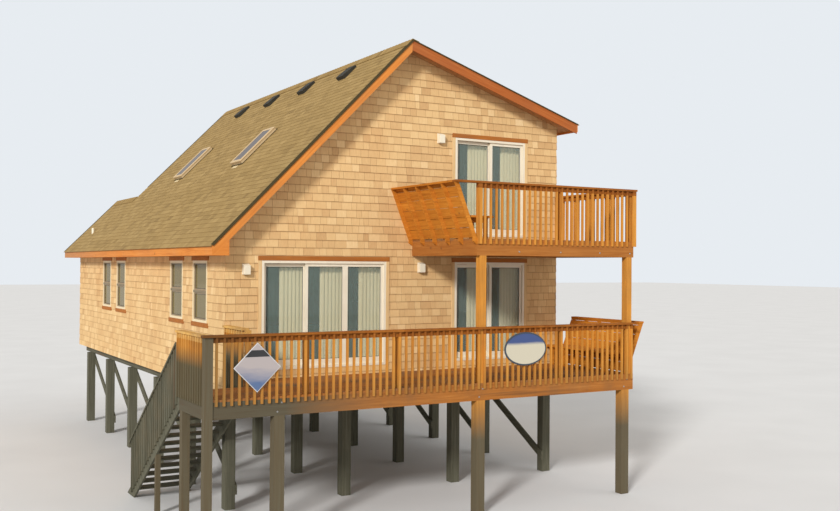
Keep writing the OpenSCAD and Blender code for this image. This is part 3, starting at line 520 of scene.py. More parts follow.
    def cells(self, start: Size, pitch: Size) -> Socket:
        """Draw a random value for each board of a row.

        Args:
            start: Where the first board begins on each axis.
            pitch: Distance between boards on each axis, or 0 where they don't repeat.

        Returns:
            A value from 0 to 1, the same all over each board.
        """
        shift = self.node("ShaderNodeMapping")
        self.feed(shift.inputs["Vector"], self.node("ShaderNodeTexCoord").outputs["Object"])
        begin = tuple(-s / p if p else 0.0 for s, p in zip(start, pitch))
        shift.inputs["Location"].default_value = begin
        shift.inputs["Scale"].default_value = tuple(1.0 / p if p else 0.0 for p in pitch)
        floor = self.node("ShaderNodeVectorMath", operation="FLOOR")
        self.feed(floor.inputs[0], shift.outputs["Vector"])
        white = self.node("ShaderNodeTexWhiteNoise", noise_dimensions="3D")
        self.feed(white.inputs["Vector"], floor.outputs["Vector"])
        return white.outputs["Value"]

    def bump(self, height: Socket, strength: float, distance: float) -> Socket:
        """Turn a height into bump.

        Args:
            height: The height, from 0 to 1.
            strength: How strongly it shows.
            distance: How high 1 stands.

        Returns:
            The bumped normal.
        """
        made = self.node("ShaderNodeBump")
        made.inputs["Strength"].default_value = strength
        made.inputs["Distance"].default_value = distance
        self.feed(made.inputs["Height"], height)
        return made.outputs["Normal"]

    def finish(self, colour: Shade, roughness: Amount, normal: Optional[Socket] = None,
               **fixed: float) -> bpy.types.Material:
        """Close the material with one Principled shader.

        Args:
            colour: Base colour, as a socket or numbers.
            roughness: Roughness, as a socket or a number.
            normal: Bump socket, or None.
            **fixed: Values set on the shader's own sockets, with _ for each space.

        Returns:
            The material.
        """
        shader = self.node("ShaderNodeBsdfPrincipled")
        self.paint(shader.inputs["Base Color"], colour)
        self.feed(shader.inputs["Roughness"], roughness)
        if normal is not None:
            self.feed(shader.inputs["Normal"], normal)
        for key, value in fixed.items():
            shader.inputs[key.replace("_", " ")].default_value = value
        self.feed(self.output.inputs["Surface"], shader.outputs[0])
        return self.material


class Finish:
    """A finish that builds its material once."""

    name: str

    def material(self) -> bpy.types.Material:
        """The finish's material, made on first use."""
        return bpy.data.materials.get(self.name) or self.build(NodeSketch(self.name))

    def build(self, sketch: NodeSketch) -> bpy.types.Material:
        """Draw the material."""
        raise NotImplementedError


@dataclass(frozen=True)
class ShingleFinish(Finish):
    """Split shingles, each with its own tone, vertical grain and weathering."""

    name: str
    tones: Tones
    stain: Colour
    stain_amount: float = 0.3
    # A painted shadow darkens the top of each shingle, under the next course's butt.
    shadow_line: Colour = (0.42, 0.30, 0.20)
    shadow_line_span: tuple[float, float] = (0.80, 0.94)
    shadow_line_amount: float = 0.5
    grain: Size = (90.0, 90.0, 5.0)
    grain_depth: float = 0.0012
    grain_tone: float = 0.1
    roughness: float = 0.85
    roughness_play: float = 0.08

    def build(self, sketch: NodeSketch) -> bpy.types.Material:
        """Tone from the shingle, streaks along it, patches of weather and a painted shadow under each
        course's butt.

        Args:
            sketch: The empty material.

        Returns:
            The material.
        """
        tone = sketch.node("ShaderNodeAttribute", attribute_name="tone").outputs["Fac"]
        rise = sketch.node("ShaderNodeAttribute", attribute_name="rise").outputs["Fac"]
        streaks = sketch.noise(sketch.place(self.grain), 1.0, detail=5.0, roughness=0.6, distortion=0.4)
        blend = sketch.sum("ADD", tone, sketch.span(streaks, 0.3, 0.7, -self.grain_tone, self.grain_tone))
        colour = sketch.ramp(blend, self.tones)
        patches = sketch.noise(sketch.place(), 0.55, detail=4.0, roughness=0.6)
        amount = sketch.span(patches, 0.45, 0.72, 0.0, self.stain_amount)
        colour = sketch.mix(amount, colour, self.stain, "MULTIPLY")
        # Painted shadow under the butt of the course above.
        shadow_line = sketch.span(rise, *self.shadow_line_span, 0.0, self.shadow_line_amount)
        colour = sketch.mix(shadow_line, colour, self.shadow_line, "MULTIPLY")
        rough = sketch.span(streaks, 0.2, 0.8, self.roughness - self.roughness_play,
                            self.roughness + self.roughness_play)
        return sketch.finish(colour, rough, sketch.bump(streaks, 0.6, self.grain_depth),
                             Specular_IOR_Level=0.25)


@dataclass(frozen=True)
class Fade:
    """Greying for weather and painted shade, full at one place along an axis and gone at another."""

    axis: str
    full: float
    clear: float
    amount: float = 0.85


@dataclass(frozen=True)
class TimberFinish(Finish):
    """Sawn boards with grain along one axis, or by face, and caps over upright pieces."""

    name: str
    tones: Tones
    # The grey that weather patches and fades lead to; on the posts, rims and side rails it is darkened
    # further as painted shade.
    weather_and_shade: Colour
    grain: Grain
    turn: Size = UNTURNED
    row_start: Size = (0.0, 0.0, 0.0)
    row_pitch: Size = (0.0, 0.0, 0.0)
    row_tone: float = 0.26
    weather: float = 0.25
    weather_streaks: Colour = (0.62, 0.62, 0.62)
    level_above: Optional[float] = None
    level_grain: Grain = Grain.X
    cap_shade: Colour = EVEN
    by_face: bool = False
    fades: tuple[Fade, ...] = ()
    knot: Colour = (0.12, 0.05, 0.02)
    knot_size: float = 0.25
    knot_amount: float = 0.55
    roughness: float = 0.75
    roughness_play: float = 0.1
    grain_depth: float = 0.0012

    def build(self, sketch: NodeSketch) -> bpy.types.Material:
        """Grain, knots and board tones, greyed by weather and by painted shade.

        Args:
            sketch: The empty material.

        Returns:
            The material.
        """
        streaks = self._streaks(sketch, self.grain)
        over = None
        if self.level_above is not None:
            over = sketch.sum("GREATER_THAN", sketch.axis("Z"), self.level_above)
            streaks = self._swapped(sketch, streaks, over, self.level_grain)
        if self.by_face:
            streaks = self._swapped(sketch, streaks, sketch.sideways(), Grain.Y)
        colour = self._weathered_and_shaded(sketch, self._boards(sketch, streaks), streaks)
        # Caps are multiplied by cap_shade: darker on the front rails, and a painted sunlit top on the side
        # rails.
        if over is not None:
            colour = sketch.mix(over, colour, sketch.mix(1.0, colour, self.cap_shade, "MULTIPLY"))
        knot_grain = tuple(v * self.knot_size for v in self.grain.value)
        knots = sketch.noise(sketch.place(knot_grain, self.turn), 1.0, detail=2.0)
        colour = sketch.mix(sketch.span(knots, 0.66, 0.74, 0.0, self.knot_amount), colour, self.knot)
        rough = sketch.span(streaks, 0.2, 0.8, self.roughness + self.roughness_play,
                            self.roughness - self.roughness_play)
        return sketch.finish(colour, rough, sketch.bump(streaks, 0.5, self.grain_depth),
                             Specular_IOR_Level=0.15)

    def _boards(self, sketch: NodeSketch, streaks: Socket) -> Socket:
        """Colour the grain, with a tone for each board.

        Args:
            sketch: The material.
            streaks: The grain lines.

        Returns:
            The colour of new timber.
        """
        tone = sketch.sum("MULTIPLY", sketch.cells(self.row_start, self.row_pitch), self.row_tone)
        blend = sketch.sum("ADD", sketch.span(streaks, 0.25, 0.75, 0.1, 0.78), tone)
        return sketch.ramp(blend, self.tones)

    def _weathered_and_shaded(self, sketch: NodeSketch, colour: Socket, streaks: Socket) -> Socket:
        """Grey the timber in random patches of weather, and where a fade reaches, which paints shade along
        with weather.

        Args:
            sketch: The material.
            colour: The colour of new timber.
            streaks: The grain lines.

        Returns:
            The greyed colour.
        """
        patches = sketch.noise(sketch.place(), 1.3, detail=5.0, roughness=0.65)
        amount = sketch.span(patches, 0.42, 0.7, 0.0, self.weather)
        # Each fade paints shade along with weather towards one end of the piece.
        for fade in self.fades:
            reach = sketch.span(sketch.axis(fade.axis), fade.full, fade.clear, fade.amount, 0.0)
            amount = sketch.sum("MAXIMUM", amount, reach)
        darker = scaled(self.weather_and_shade, self.weather_streaks)
        grey = sketch.mix(sketch.span(streaks, 0.3, 0.7), self.weather_and_shade, darker)
        return sketch.mix(amount, colour, grey)

    def _swapped(self, sketch: NodeSketch, streaks: Socket, mask: Socket, grain: Grain) -> Socket:
        """Swap the grain lines where a mask is set.

        Args:
            sketch: The material.
            streaks: The grain lines elsewhere.
            mask: 1 where they are swapped and 0 where they stay.
            grain: Direction of the grain that takes their place.

        Returns:
            The grain lines.
        """
        kept = sketch.sum("MULTIPLY", streaks, sketch.sum("SUBTRACT", 1.0, mask))
        return sketch.sum("ADD", kept, sketch.sum("MULTIPLY", self._streaks(sketch, grain), mask))

    def _streaks(self, sketch: NodeSketch, grain: Grain) -> Socket:
        """Grain lines along one axis."""
        return sketch.noise(sketch.place(grain.value, self.turn), 1.0, detail=6.0, roughness=0.6,
                            distortion=0.8)


@dataclass(frozen=True)
class PaintFinish(Finish):
    """Moulded or painted surface with faint dirt and an uneven sheen."""

    name: str
    colour: Colour
    dirt: Colour
    roughness: float = 0.45
    metallic: float = 0.0
    dirt_amount: float = 0.3
    gloss: float = 0.5

    def build(self, sketch: NodeSketch) -> bpy.types.Material:
        """Flat colour, dirt in patches, and fine bump.

        Args:
            sketch: The empty material.

        Returns:
            The material.
        """
        patches = sketch.noise(sketch.place(), 3.0, detail=6.0, roughness=0.65)
        colour = sketch.mix(sketch.span(patches, 0.45, 0.8, 0.0, self.dirt_amount), self.colour, self.dirt)
        fine = sketch.noise(sketch.place(), 160.0, detail=2.0)
        rough = sketch.span(patches, 0.3, 0.7, self.roughness - 0.06, self.roughness + 0.1)
        return sketch.finish(colour, rough, sketch.bump(fine, 0.1, 0.0005), Metallic=self.metallic,
                             Specular_IOR_Level=self.gloss)


@dataclass(frozen=True)
class PaneFinish(Finish):
    """Tinted window glass."""

    name: str
    tint: Colour
    alpha: float
    roughness: float = 0.03
    gloss: float = 0.8
    waves: Colour = (0.8, 0.8, 0.8)

    def build(self, sketch: NodeSketch) -> bpy.types.Material:
        """Clear pane with a slight waviness.

        Args:
            sketch: The empty material.

        Returns:
            The material.
        """
        waves = sketch.noise(sketch.place(), 1.6, detail=1.0)
        darker = scaled(self.tint, self.waves)
        colour = sketch.mix(sketch.span(waves, 0.3, 0.7, 0.0, 0.25), self.tint, darker)
        return sketch.finish(colour, self.roughness, sketch.bump(waves, 0.05, 0.002),
                             Alpha=self.alpha, Specular_IOR_Level=self.gloss)


@dataclass(frozen=True)
class VaneFinish(Finish):
    """Cream fabric vanes of a vertical blind."""

    name: str = "cream_blind_fabric"
    weave: Size = (420.0, 420.0, 30.0)
    tones: Tones = ((0.25, (0.70, 0.58, 0.32)), (0.7, (0.90, 0.79, 0.50)))

    def build(self, sketch: NodeSketch) -> bpy.types.Material:
        """Fine woven ribs over a cream ground.

        Args:
            sketch: The empty material.

        Returns:
            The material.
        """
        weave = sketch.noise(sketch.place(self.weave), 1.0, detail=2.0)
        colour = sketch.ramp(weave, self.tones)
        return sketch.finish(colour, 0.8, sketch.bump(weave, 0.3, 0.0006), Specular_IOR_Level=0.2)


@dataclass(frozen=True)
class BoardFinish(Finish):
    """Painted board whose colour changes over its height."""

    name: str
    upper: Colour
    lower: Colour
    z_low: float
    z_high: float
    clouds: Size = (2.0, 2.0, 9.0)

    def build(self, sketch: NodeSketch) -> bpy.types.Material:
        """Two colours that meet softly across the board.

        Args:
            sketch: The empty material.

        Returns:
            The material.
        """
        height = sketch.span(sketch.axis("Z"), self.z_low, self.z_high)
        soft = sketch.noise(sketch.place(self.clouds), 1.0, detail=3.0)
        blend = sketch.sum("ADD", height, sketch.span(soft, 0.3, 0.7, -0.12, 0.12))
        colour = sketch.ramp(blend, ((0.15, self.lower), (0.75, self.upper)))
        return sketch.finish(colour, 0.4, None, Specular_IOR_Level=0.4)


# Tones and shared finishes

WALL_TONES = (
    (0.0, (0.42, 0.232, 0.098)),
    (0.3, (0.60, 0.368, 0.164)),
    (0.6, (0.72, 0.48, 0.224)),
    (0.85, (0.80, 0.575, 0.302)),
    (1.0, (0.88, 0.68, 0.390)),
)
ROOF_TONES = (
    (0.0, (0.19, 0.118, 0.040)),
    (0.5, (0.33, 0.215, 0.077)),
    (1.0, (0.45, 0.305, 0.122)),
)
TRIM_TONES = (
    (0.0, (0.40, 0.115, 0.020)),
    (0.45, (0.60, 0.195, 0.035)),
    (0.75, (0.70, 0.255, 0.050)),
    (1.0, (0.78, 0.32, 0.075)),
)
DECK_TONES = (
    (0.0, (0.28, 0.090, 0.012)),
    (0.4, (0.48, 0.185, 0.026)),
    (0.75, (0.62, 0.265, 0.042)),
    (1.0, (0.74, 0.36, 0.075)),
)
# Weathered grey, darkened further by painted shade; used under the house and on the stair.
GREY_TONES = (
    (0.0, (0.048, 0.046, 0.030)),
    (0.45, (0.090, 0.085, 0.056)),
    (0.8, (0.135, 0.128, 0.088)),
    (1.0, (0.19, 0.18, 0.125)),
)
SOFFIT_TONES = (
    (0.0, (0.30, 0.13, 0.05)),
    (0.5, (0.44, 0.21, 0.085)),
    (1.0, (0.56, 0.30, 0.13)),
)
FLOOR_TONES = (
    (0.0, (0.26, 0.16, 0.09)),
    (0.5, (0.38, 0.25, 0.14)),
    (1.0, (0.48, 0.34, 0.20)),
)
WEATHER_GREY = (0.14, 0.135, 0.10)

# Both shingle finishes paint a shadow under each course's butt; the roof's is fainter.
WALL = ShingleFinish("split_cedar_shingles", WALL_TONES, stain=(0.86, 0.66, 0.48))
ROOF_COVER = ShingleFinish(
    "golden_roof_shingles", ROOF_TONES, stain=(0.88, 0.84, 0.74), stain_amount=0.4,
    shadow_line=(0.62, 0.55, 0.45), shadow_line_span=(0.84, 0.97), shadow_line_amount=0.2, grain=(14.0, 60.0, 14.0),
    grain_depth=0.0008, roughness=0.9)
VINYL = PaintFinish("white_vinyl_frames", (0.80, 0.72, 0.56), (0.58, 0.49, 0.34), 0.45)
WINDOW_CREAM = PaintFinish("cream_window_frames", (0.78, 0.64, 0.40), (0.56, 0.44, 0.26), 0.45)
SASH = PaintFinish("taupe_window_sash", (0.30, 0.22, 0.13), (0.20, 0.15, 0.09), 0.5)
MEETING = PaintFinish("dark_meeting_rail", (0.21, 0.16, 0.09), (0.14, 0.10, 0.06), 0.5)
CREAM = PaintFinish("cream_skylight_frame", (0.70, 0.55, 0.30), (0.45, 0.34, 0.18), 0.5)
SKYLIGHT_TAN = PaintFinish("tan_skylight_frames", (0.58, 0.42, 0.23), (0.44, 0.30, 0.15), 0.6)
GASKET = PaintFinish("dark_gasket", (0.035, 0.035, 0.035), (0.07, 0.065, 0.06), 0.6)
VENT_METAL = PaintFinish("dark_vent_metal", (0.030, 0.028, 0.022), (0.10, 0.095, 0.07), 0.6, gloss=0.2)
DRIP = PaintFinish("dark_drip_edge", (0.070, 0.052, 0.022), (0.11, 0.08, 0.04), 0.8, gloss=0.1)
LAMP_WHITE = PaintFinish("cream_lamp_metal", (0.80, 0.72, 0.55), (0.55, 0.47, 0.33), 0.45)
BOLT = PaintFinish("galvanised_bolts", (0.36, 0.36, 0.35), (0.24, 0.17, 0.10), 0.45, metallic=0.8)
BOARD_EDGE = PaintFinish("white_board_edge", (0.58, 0.58, 0.58), (0.4, 0.38, 0.34), 0.4)
BOARD_BAND = PaintFinish("dark_board_band", (0.02, 0.02, 0.022), (0.06, 0.06, 0.06), 0.4)
BOARD_RIM = PaintFinish("dark_board_rim", (0.035, 0.05, 0.07), (0.08, 0.09, 0.1), 0.4)
PANE = PaneFinish("window_pane", (0.20, 0.155, 0.055), alpha=0.88, gloss=0.3)
DOOR_PANE = PaneFinish("door_pane", (0.36, 0.48, 0.42), alpha=0.19)
ROOF_PANE = PaneFinish("skylight_pane", (0.09, 0.068, 0.07), alpha=0.9, gloss=0.2)
CASING = TimberFinish("cedar_casings", shaded(TRIM_TONES, (0.61, 0.60, 0.62)), (0.20, 0.13, 0.08), Grain.X)
SIDE_CASING = TimberFinish("tan_side_casings", WALL_TONES, (0.5, 0.36, 0.2), Grain.Z)
BLIND = VaneFinish()


# The house's plan


@dataclass(frozen=True)
class Door:
    """A glazed sliding door in the front wall."""

    name: str
    x: float
    width: float
    panels: int
    floor: float


@dataclass(frozen=True)
class Plan:
    """Sizes of the house from its front left corner, and that corner's place in the frame."""

    origin: Vector
    width: float = 7.8
    main_depth: float = 10.6
    wing_end: float = 13.2
    wall_base: float = 2.2
    floor_z: float = 2.62
    upper_z: float = 5.29
    door_h: float = 2.11
    wide_door_x: float = 0.715
    wide_door_w: float = 2.7
    pair_door_x: float = 5.08
    pair_door_w: float = 1.83
    ridge_x: float = 3.78
    ridge_z: float = 9.26
    left_pitch: float = 1.016
    right_pitch: float = 0.325
    wing_pitch: float = 0.235
    wing_ridge_x: float = 1.136
    roof_t: float = 0.12
    roof_left: float = -0.384
    roof_right: float = 8.071
    roof_front: float = -0.388
    roof_rear: float = 10.995
    wing_roof_rear: float = 13.5
    soffit_z: float = 4.814
    trim_t: float = 0.022
    casing_h: float = 0.09
    casing_reach: float = 0.075
    deck_reach: float = 2.468
    lower_rim_z: float = 2.133
    lower_deck_z: float = 2.457
    upper_rim_z: float = 4.85
    upper_deck_z: float = 5.174
    upper_deck_x: float = 4.032

    def at(self, x: float, y: float, z: float) -> Vector:
        """A point of the house in the frame."""
        return self.origin + Vector((x, y, z))

    def left_top(self, x: float) -> float:
        """Height of the steep left slope."""
        return self.ridge_z - (self.ridge_x - x) * self.left_pitch

    def right_top(self, x: float) -> float:
        """Height of the shallow right slope."""
        return self.ridge_z - (x - self.ridge_x) * self.right_pitch

    def wing_top(self, x: float) -> float:
        """Height of the wing's right slope."""
        return self.wing_ridge_z() - (x - self.wing_ridge_x) * self.wing_pitch

    def wing_ridge_z(self) -> float:
        """Height of the wing's ridge, which lies on the steep slope."""
        return self.left_top(self.wing_ridge_x)

    def drop(self, pitch: float) -> float:
        """Plumb thickness of the roof on a slope."""
        return self.roof_t * math.sqrt(1.0 + pitch * pitch)

    def doors(self) -> tuple[Door, Door, Door]:
        """List the glazed doors.

        Returns:
            The wide lower door, the lower pair and the upper pair.
        """
        return (
            Door("wide_door", self.wide_door_x, self.wide_door_w, 3, self.floor_z),
            Door("lower_pair", self.pair_door_x, self.pair_door_w, 2, self.floor_z),
            Door("upper_pair", self.pair_door_x, self.pair_door_w, 2, self.upper_z),
        )


# Shingles


@dataclass
class ShingleField:
    """Courses of shingles on one plane.

    The fields hold the plane's corner, its directions along the courses, up them and outwards,
    the extent that is covered, the exposure of each course and the shingles' own sizes. weave
    says which courses, even or odd, run past the start and the end to cover a corner.
    """

    name: str
    corner: Vector
    along: Vector
    up: Vector
    out: Vector
    reach: tuple[float, float]
    height: tuple[float, float]
    exposure: float = 0.155
    widths: tuple[float, float] = (0.085, 0.27)
    butt: float = 0.015
    tip: float = 0.004
    gap: float = 0.004
    sunk: float = 0.002
    lap: float = 0.006
    uneven: float = 0.003
    least_width: float = 0.012
    least_height: float = 0.01
    sliver: float = 0.006
    tone_middle: float = 0.52
    tone_spread: float = 0.1
    # Darker tone on each shingle's butt, top and sides: painted shade, with the butt's darker end grain.
    edge_shade_and_end_grain: float = 0.3
    weave: tuple[int, int] = (-1, -1)
    openings: list[Rect] = field(default_factory=list)
    seed: int = 1

    def lay(self) -> bpy.types.Object:
        """Copy a modelled shingle into every place of the field.

        Returns:
            The field as one mesh, with each shingle's tone on its faces.
        """
        corners, faces = self._pattern()
        spots = list(self._spots())
        places = np.array([spot[:7] for spot in spots])
        span = places[:, 1:2] - places[:, 0:1]
        rise = places[:, 3:4] - places[:, 2:3]
        u = places[:, 0:1] + corners[:, 0] * span
        v = places[:, 2:3] + corners[:, 1] * rise
        thick = places[:, 4:5] + (places[:, 5:6] - places[:, 4:5]) * corners[:, 1]
        w = np.where(corners[:, 2] > 0.5, thick, -self.sunk)
        along, up, out = np.array([self.along, self.up, self.out])
        points = np.array(self.corner) + u[..., None] * along + v[..., None] * up + w[..., None] * out
        flip = self.along.cross(self.up).dot(self.out) < 0.0
        order = faces[:, ::-1] if flip else faces
        loops = order[None, :, :] + (np.arange(len(spots)) * len(corners))[:, None, None]
        mesh = bpy.data.meshes.new(self.name)
        mesh.from_pydata(points.reshape(-1, 3).tolist(), [], loops.reshape(-1, 4).tolist())
        # Painted shade: the butt, top and side faces of each shingle take a darker tone.
        flat = np.ptp(corners[faces], axis=1)
        edge = np.where(flat[:, 1] < 0.5, self.edge_shade_and_end_grain, 0.0)
        edge = edge + np.where(flat[:, 0] < 0.5, self.edge_shade_and_end_grain, 0.0)
        tone = mesh.attributes.new("tone", "FLOAT", "FACE")
        tone.data.foreach_set("value", (places[:, 6:7] - edge).ravel().astype(np.float32))
        share = (self.butt - thick) / (self.butt - self.tip)
        rise_at = mesh.attributes.new("rise", "FLOAT", "POINT")
        rise_at.data.foreach_set("value", share.ravel().astype(np.float32))
        piece = bpy.data.objects.new(self.name, mesh)
        bpy.context.scene.collection.objects.link(piece)
        return piece

    def _pattern(self) -> tuple[np.ndarray, np.ndarray]:
        """Model one shingle on a unit block.

        Returns:
            Its corners, and each face's corners by number.
        """
        Bench.clear()
        bpy.ops.mesh.primitive_cube_add(size=1.0, location=(0.5, 0.5, 0.5))
        piece = Bench.settle("shingle_pattern")
        corners = np.array([tuple(v.co) for v in piece.data.vertices])
        faces = np.array([tuple(f.vertices) for f in piece.data.polygons])
        bpy.data.objects.remove(piece)
        return corners, faces

    def _spots(self) -> Iterable[tuple[float, ...]]:
        """Find the place of every shingle, course by course.

        Returns:
            Start, end, foot, head, lower thickness, upper thickness and tone of each one.
        """
        dice = random.Random(self.seed)
        rows = math.ceil((self.height[1] - self.height[0]) / self.exposure)
        for row in range(rows):
            low = self.height[0] + row * self.exposure
            high = min(low + self.exposure + self.lap, self.height[1])
            start = self.reach[0] - (self.butt if self.weave[0] == row % 2 else 0.0)
            stop = self.reach[1] + (self.butt if self.weave[1] == row % 2 else 0.0)
            u = start - dice.random() * self.widths[0]
            while u < stop:
                width = dice.uniform(*self.widths)
                a, b = max(u, start), min(u + width - self.gap, stop)
                tone = min(1.0, max(0.0, dice.gauss(self.tone_middle, self.tone_spread)))
                foot = low + (dice.uniform(-self.uneven, self.uneven) if row else 0.0)
                if b - a > self.least_width and high - foot > self.least_height:
                    for part in self._around((a, b, foot, high)):
                        yield (*part, *self._thickness(part, low), tone)
                u += width

    def _thickness(self, part: Rect, low: float) -> tuple[float, float]:
        """Work out the thickness of a shingle's part.

        Args:
            part: Start, end, foot and head of the part.
            low: Height at which the whole shingle is thickest.

        Returns:
            Thickness at the foot and at the head.
        """
        full = self.exposure + self.lap
        ease = [min(1.0, max(0.0, (v - low) / full)) for v in part[2:4]]
        return tuple(self.butt + (self.tip - self.butt) * e for e in ease)

    def _around(self, shingle: Rect) -> list[Rect]:
        """Cut the openings out of a shingle.

        Args:
            shingle: Start, end, foot and head of the shingle.

        Returns:
            The parts of it that are left.
        """
        parts = [shingle]
        for left, right, foot, head in self.openings:
            kept: list[Rect] = []
            for a, b, c, d in parts:
                if b <= left or a >= right or d <= foot or c >= head:
                    kept.append((a, b, c, d))
                    continue
                kept.append((a, left, c, d))
                kept.append((right, b, c, d))
                kept.append((max(a, left), min(b, right), c, foot))
                kept.append((max(a, left), min(b, right), head, d))
            parts = [p for p in kept if p[1] - p[0] > self.sliver and p[3] - p[2] > self.sliver]
        return parts


@dataclass
class WallShingles:
    """Shingles on every outside wall."""

    plan: Plan
    window_w: float = 0.92
    window_h: float = 1.24
    sill: float = 3.482
    upper_sill: float = 6.092
    gable_sill: float = 6.2472
    side_middles: tuple[float, ...] = (1.513, 3.142, 8.08, 9.64)
    rear_middles: tuple[float, ...] = (2.3, 5.5)
    gable_middles: tuple[float, ...] = (3.9, 5.9)
    past_corner: float = 0.02
    past_wing: float = 0.1
    over_wing: float = 9.0
    saw_gap: float = 0.003
    soffit_gap: float = 0.002
    eave_gap: float = 0.004
    wing_gap: float = 0.01
    flashing: float = 0.012
    gable_lap: float = 0.2

    def build(self) -> None:
        """Lay the shingles of every wall and hand them over."""
        for piece in (self._front(), self._left(), self._right(), self._rear(), self._rear_gable()):
            Bench.hand_over(piece, WALL, Slot.WALL)

    def door_hole(self, door: Door) -> Rect:
        """Find the hole for a door, its side casings and its head board.

        Args:
            door: The door.

        Returns:
            Left, right, foot and head of the hole.
        """
        reach = self.plan.casing_reach
        head = door.floor + self.plan.door_h + self.plan.casing_h
        return (door.x - reach, door.x + door.width + reach, door.floor, head)

    def window_holes(self, middles: Sequence[float], sill: float) -> list[Rect]:
        """Find the holes for a row of windows, and for the boards over and under each.

        Args:
            middles: Middle of each window along the wall.
            sill: Height of the row's sills.

        Returns:
            Left, right, foot and head of each hole.
        """
        half, reach, board = self.window_w / 2, self.plan.casing_reach, self.plan.casing_h
        head = sill + self.window_h
        holes = []
        for middle in middles:
            left, right = middle - half, middle + half
            holes.append((left, right, sill, head))
            holes.append((left - reach, right + reach, sill - board, sill))
            holes.append((left - reach, right + reach, head, head + board))
        return holes

    def _front(self) -> bpy.types.Object:
        """Lay the front wall and gable, round the doors and the decks' rims.

        Returns:
            The shingles.
        """
        p = self.plan
        holes = [self.door_hole(door) for door in p.doors()]
        holes.append((-self.past_corner, p.width + self.past_corner, p.lower_rim_z, p.lower_deck_z))
        holes.append((p.upper_deck_x, p.width + self.past_corner, p.upper_rim_z, p.upper_deck_z))
        piece = ShingleField(
            "front_shingles", p.at(0, 0, 0), X_AXIS, Z_AXIS, -Y_AXIS, (0.0, p.width),
            (p.wall_base, p.ridge_z), weave=(0, 0), openings=holes, seed=11).lay()
        self._saw(piece, p.ridge_x, p.ridge_z, p.left_pitch, p.right_pitch)
        return piece

    def _left(self) -> bpy.types.Object:
        """Lay the left wall, under its soffit.

        Returns:
            The shingles.
        """
        p = self.plan
        return ShingleField(
            "left_shingles", p.at(0, 0, 0), Y_AXIS, Z_AXIS, -X_AXIS, (0.0, p.wing_end),
            (p.wall_base, p.soffit_z - self.soffit_gap), weave=(1, 1),
            openings=self.window_holes(self.side_middles, self.sill), seed=12).lay()

    def _right(self) -> bpy.types.Object:
        """Lay the right wall, two storeys on the main part and one on the wing.

        Returns:
            The shingles.
        """
        p = self.plan
        eave = p.right_top(p.width) - p.drop(p.right_pitch) - self.eave_gap
        wing_eave = p.wing_top(p.width) - p.drop(p.wing_pitch) - self.wing_gap
        holes = self.window_holes(self.side_middles, self.sill)
        holes += self.window_holes(self.side_middles, self.upper_sill)
        holes.append((p.main_depth, p.wing_end + self.past_wing, wing_eave, self.over_wing))
        return ShingleField(
            "right_shingles", p.at(p.width, 0, 0), Y_AXIS, Z_AXIS, X_AXIS, (0.0, p.wing_end),
            (p.wall_base, eave), weave=(1, 1), openings=holes, seed=13).lay()

    def _rear(self) -> bpy.types.Object:
        """Lay the wing's rear wall.

        Returns:
            The shingles.
        """
        p = self.plan
        piece = ShingleField(
            "rear_shingles", p.at(0, p.wing_end, 0), X_AXIS, Z_AXIS, Y_AXIS, (0.0, p.width),
            (p.wall_base, p.wing_ridge_z()), weave=(0, 0),
            openings=self.window_holes(self.rear_middles, self.sill), seed=14).lay()
        self._saw(piece, p.wing_ridge_x, p.wing_ridge_z(), p.left_pitch, p.wing_pitch)
        return piece

    def _rear_gable(self) -> bpy.types.Object:
        """Lay the main part's rear gable, down to the wing's roof.

        Returns:
            The shingles.
        """
        p = self.plan
        piece = ShingleField(
            "rear_gable_shingles", p.at(0, p.main_depth, 0), X_AXIS, Z_AXIS, Y_AXIS, (0.0, p.width),
            (p.wing_top(p.width) - self.gable_lap, p.ridge_z), weave=(-1, 0),
            openings=self.window_holes(self.gable_middles, self.gable_sill), seed=15).lay()
        self._saw(piece, p.ridge_x, p.ridge_z, p.left_pitch, p.right_pitch)
        Bench.trim(piece, p.at(0, 0, p.wing_top(0) + self.flashing),
                   Vector((-p.wing_pitch, 0, -1)).normalized())
        return piece

    def _saw(self, piece: bpy.types.Object, x: float, z: float, left: float, right: float) -> None:
        """Saw a field along the underside of the two slopes over it.

        Args:
            piece: The field.
            x: Distance of the ridge from the left wall.
            z: Height of the ridge.
            left: Pitch on the left.
            right: Pitch on the right.
        """
        for pitch, lean in ((left, -left), (right, right)):
            under = z - self.plan.drop(pitch) - self.saw_gap
            Bench.trim(piece, self.plan.at(x, 0, under), Vector((lean, 0, 1)).normalized())


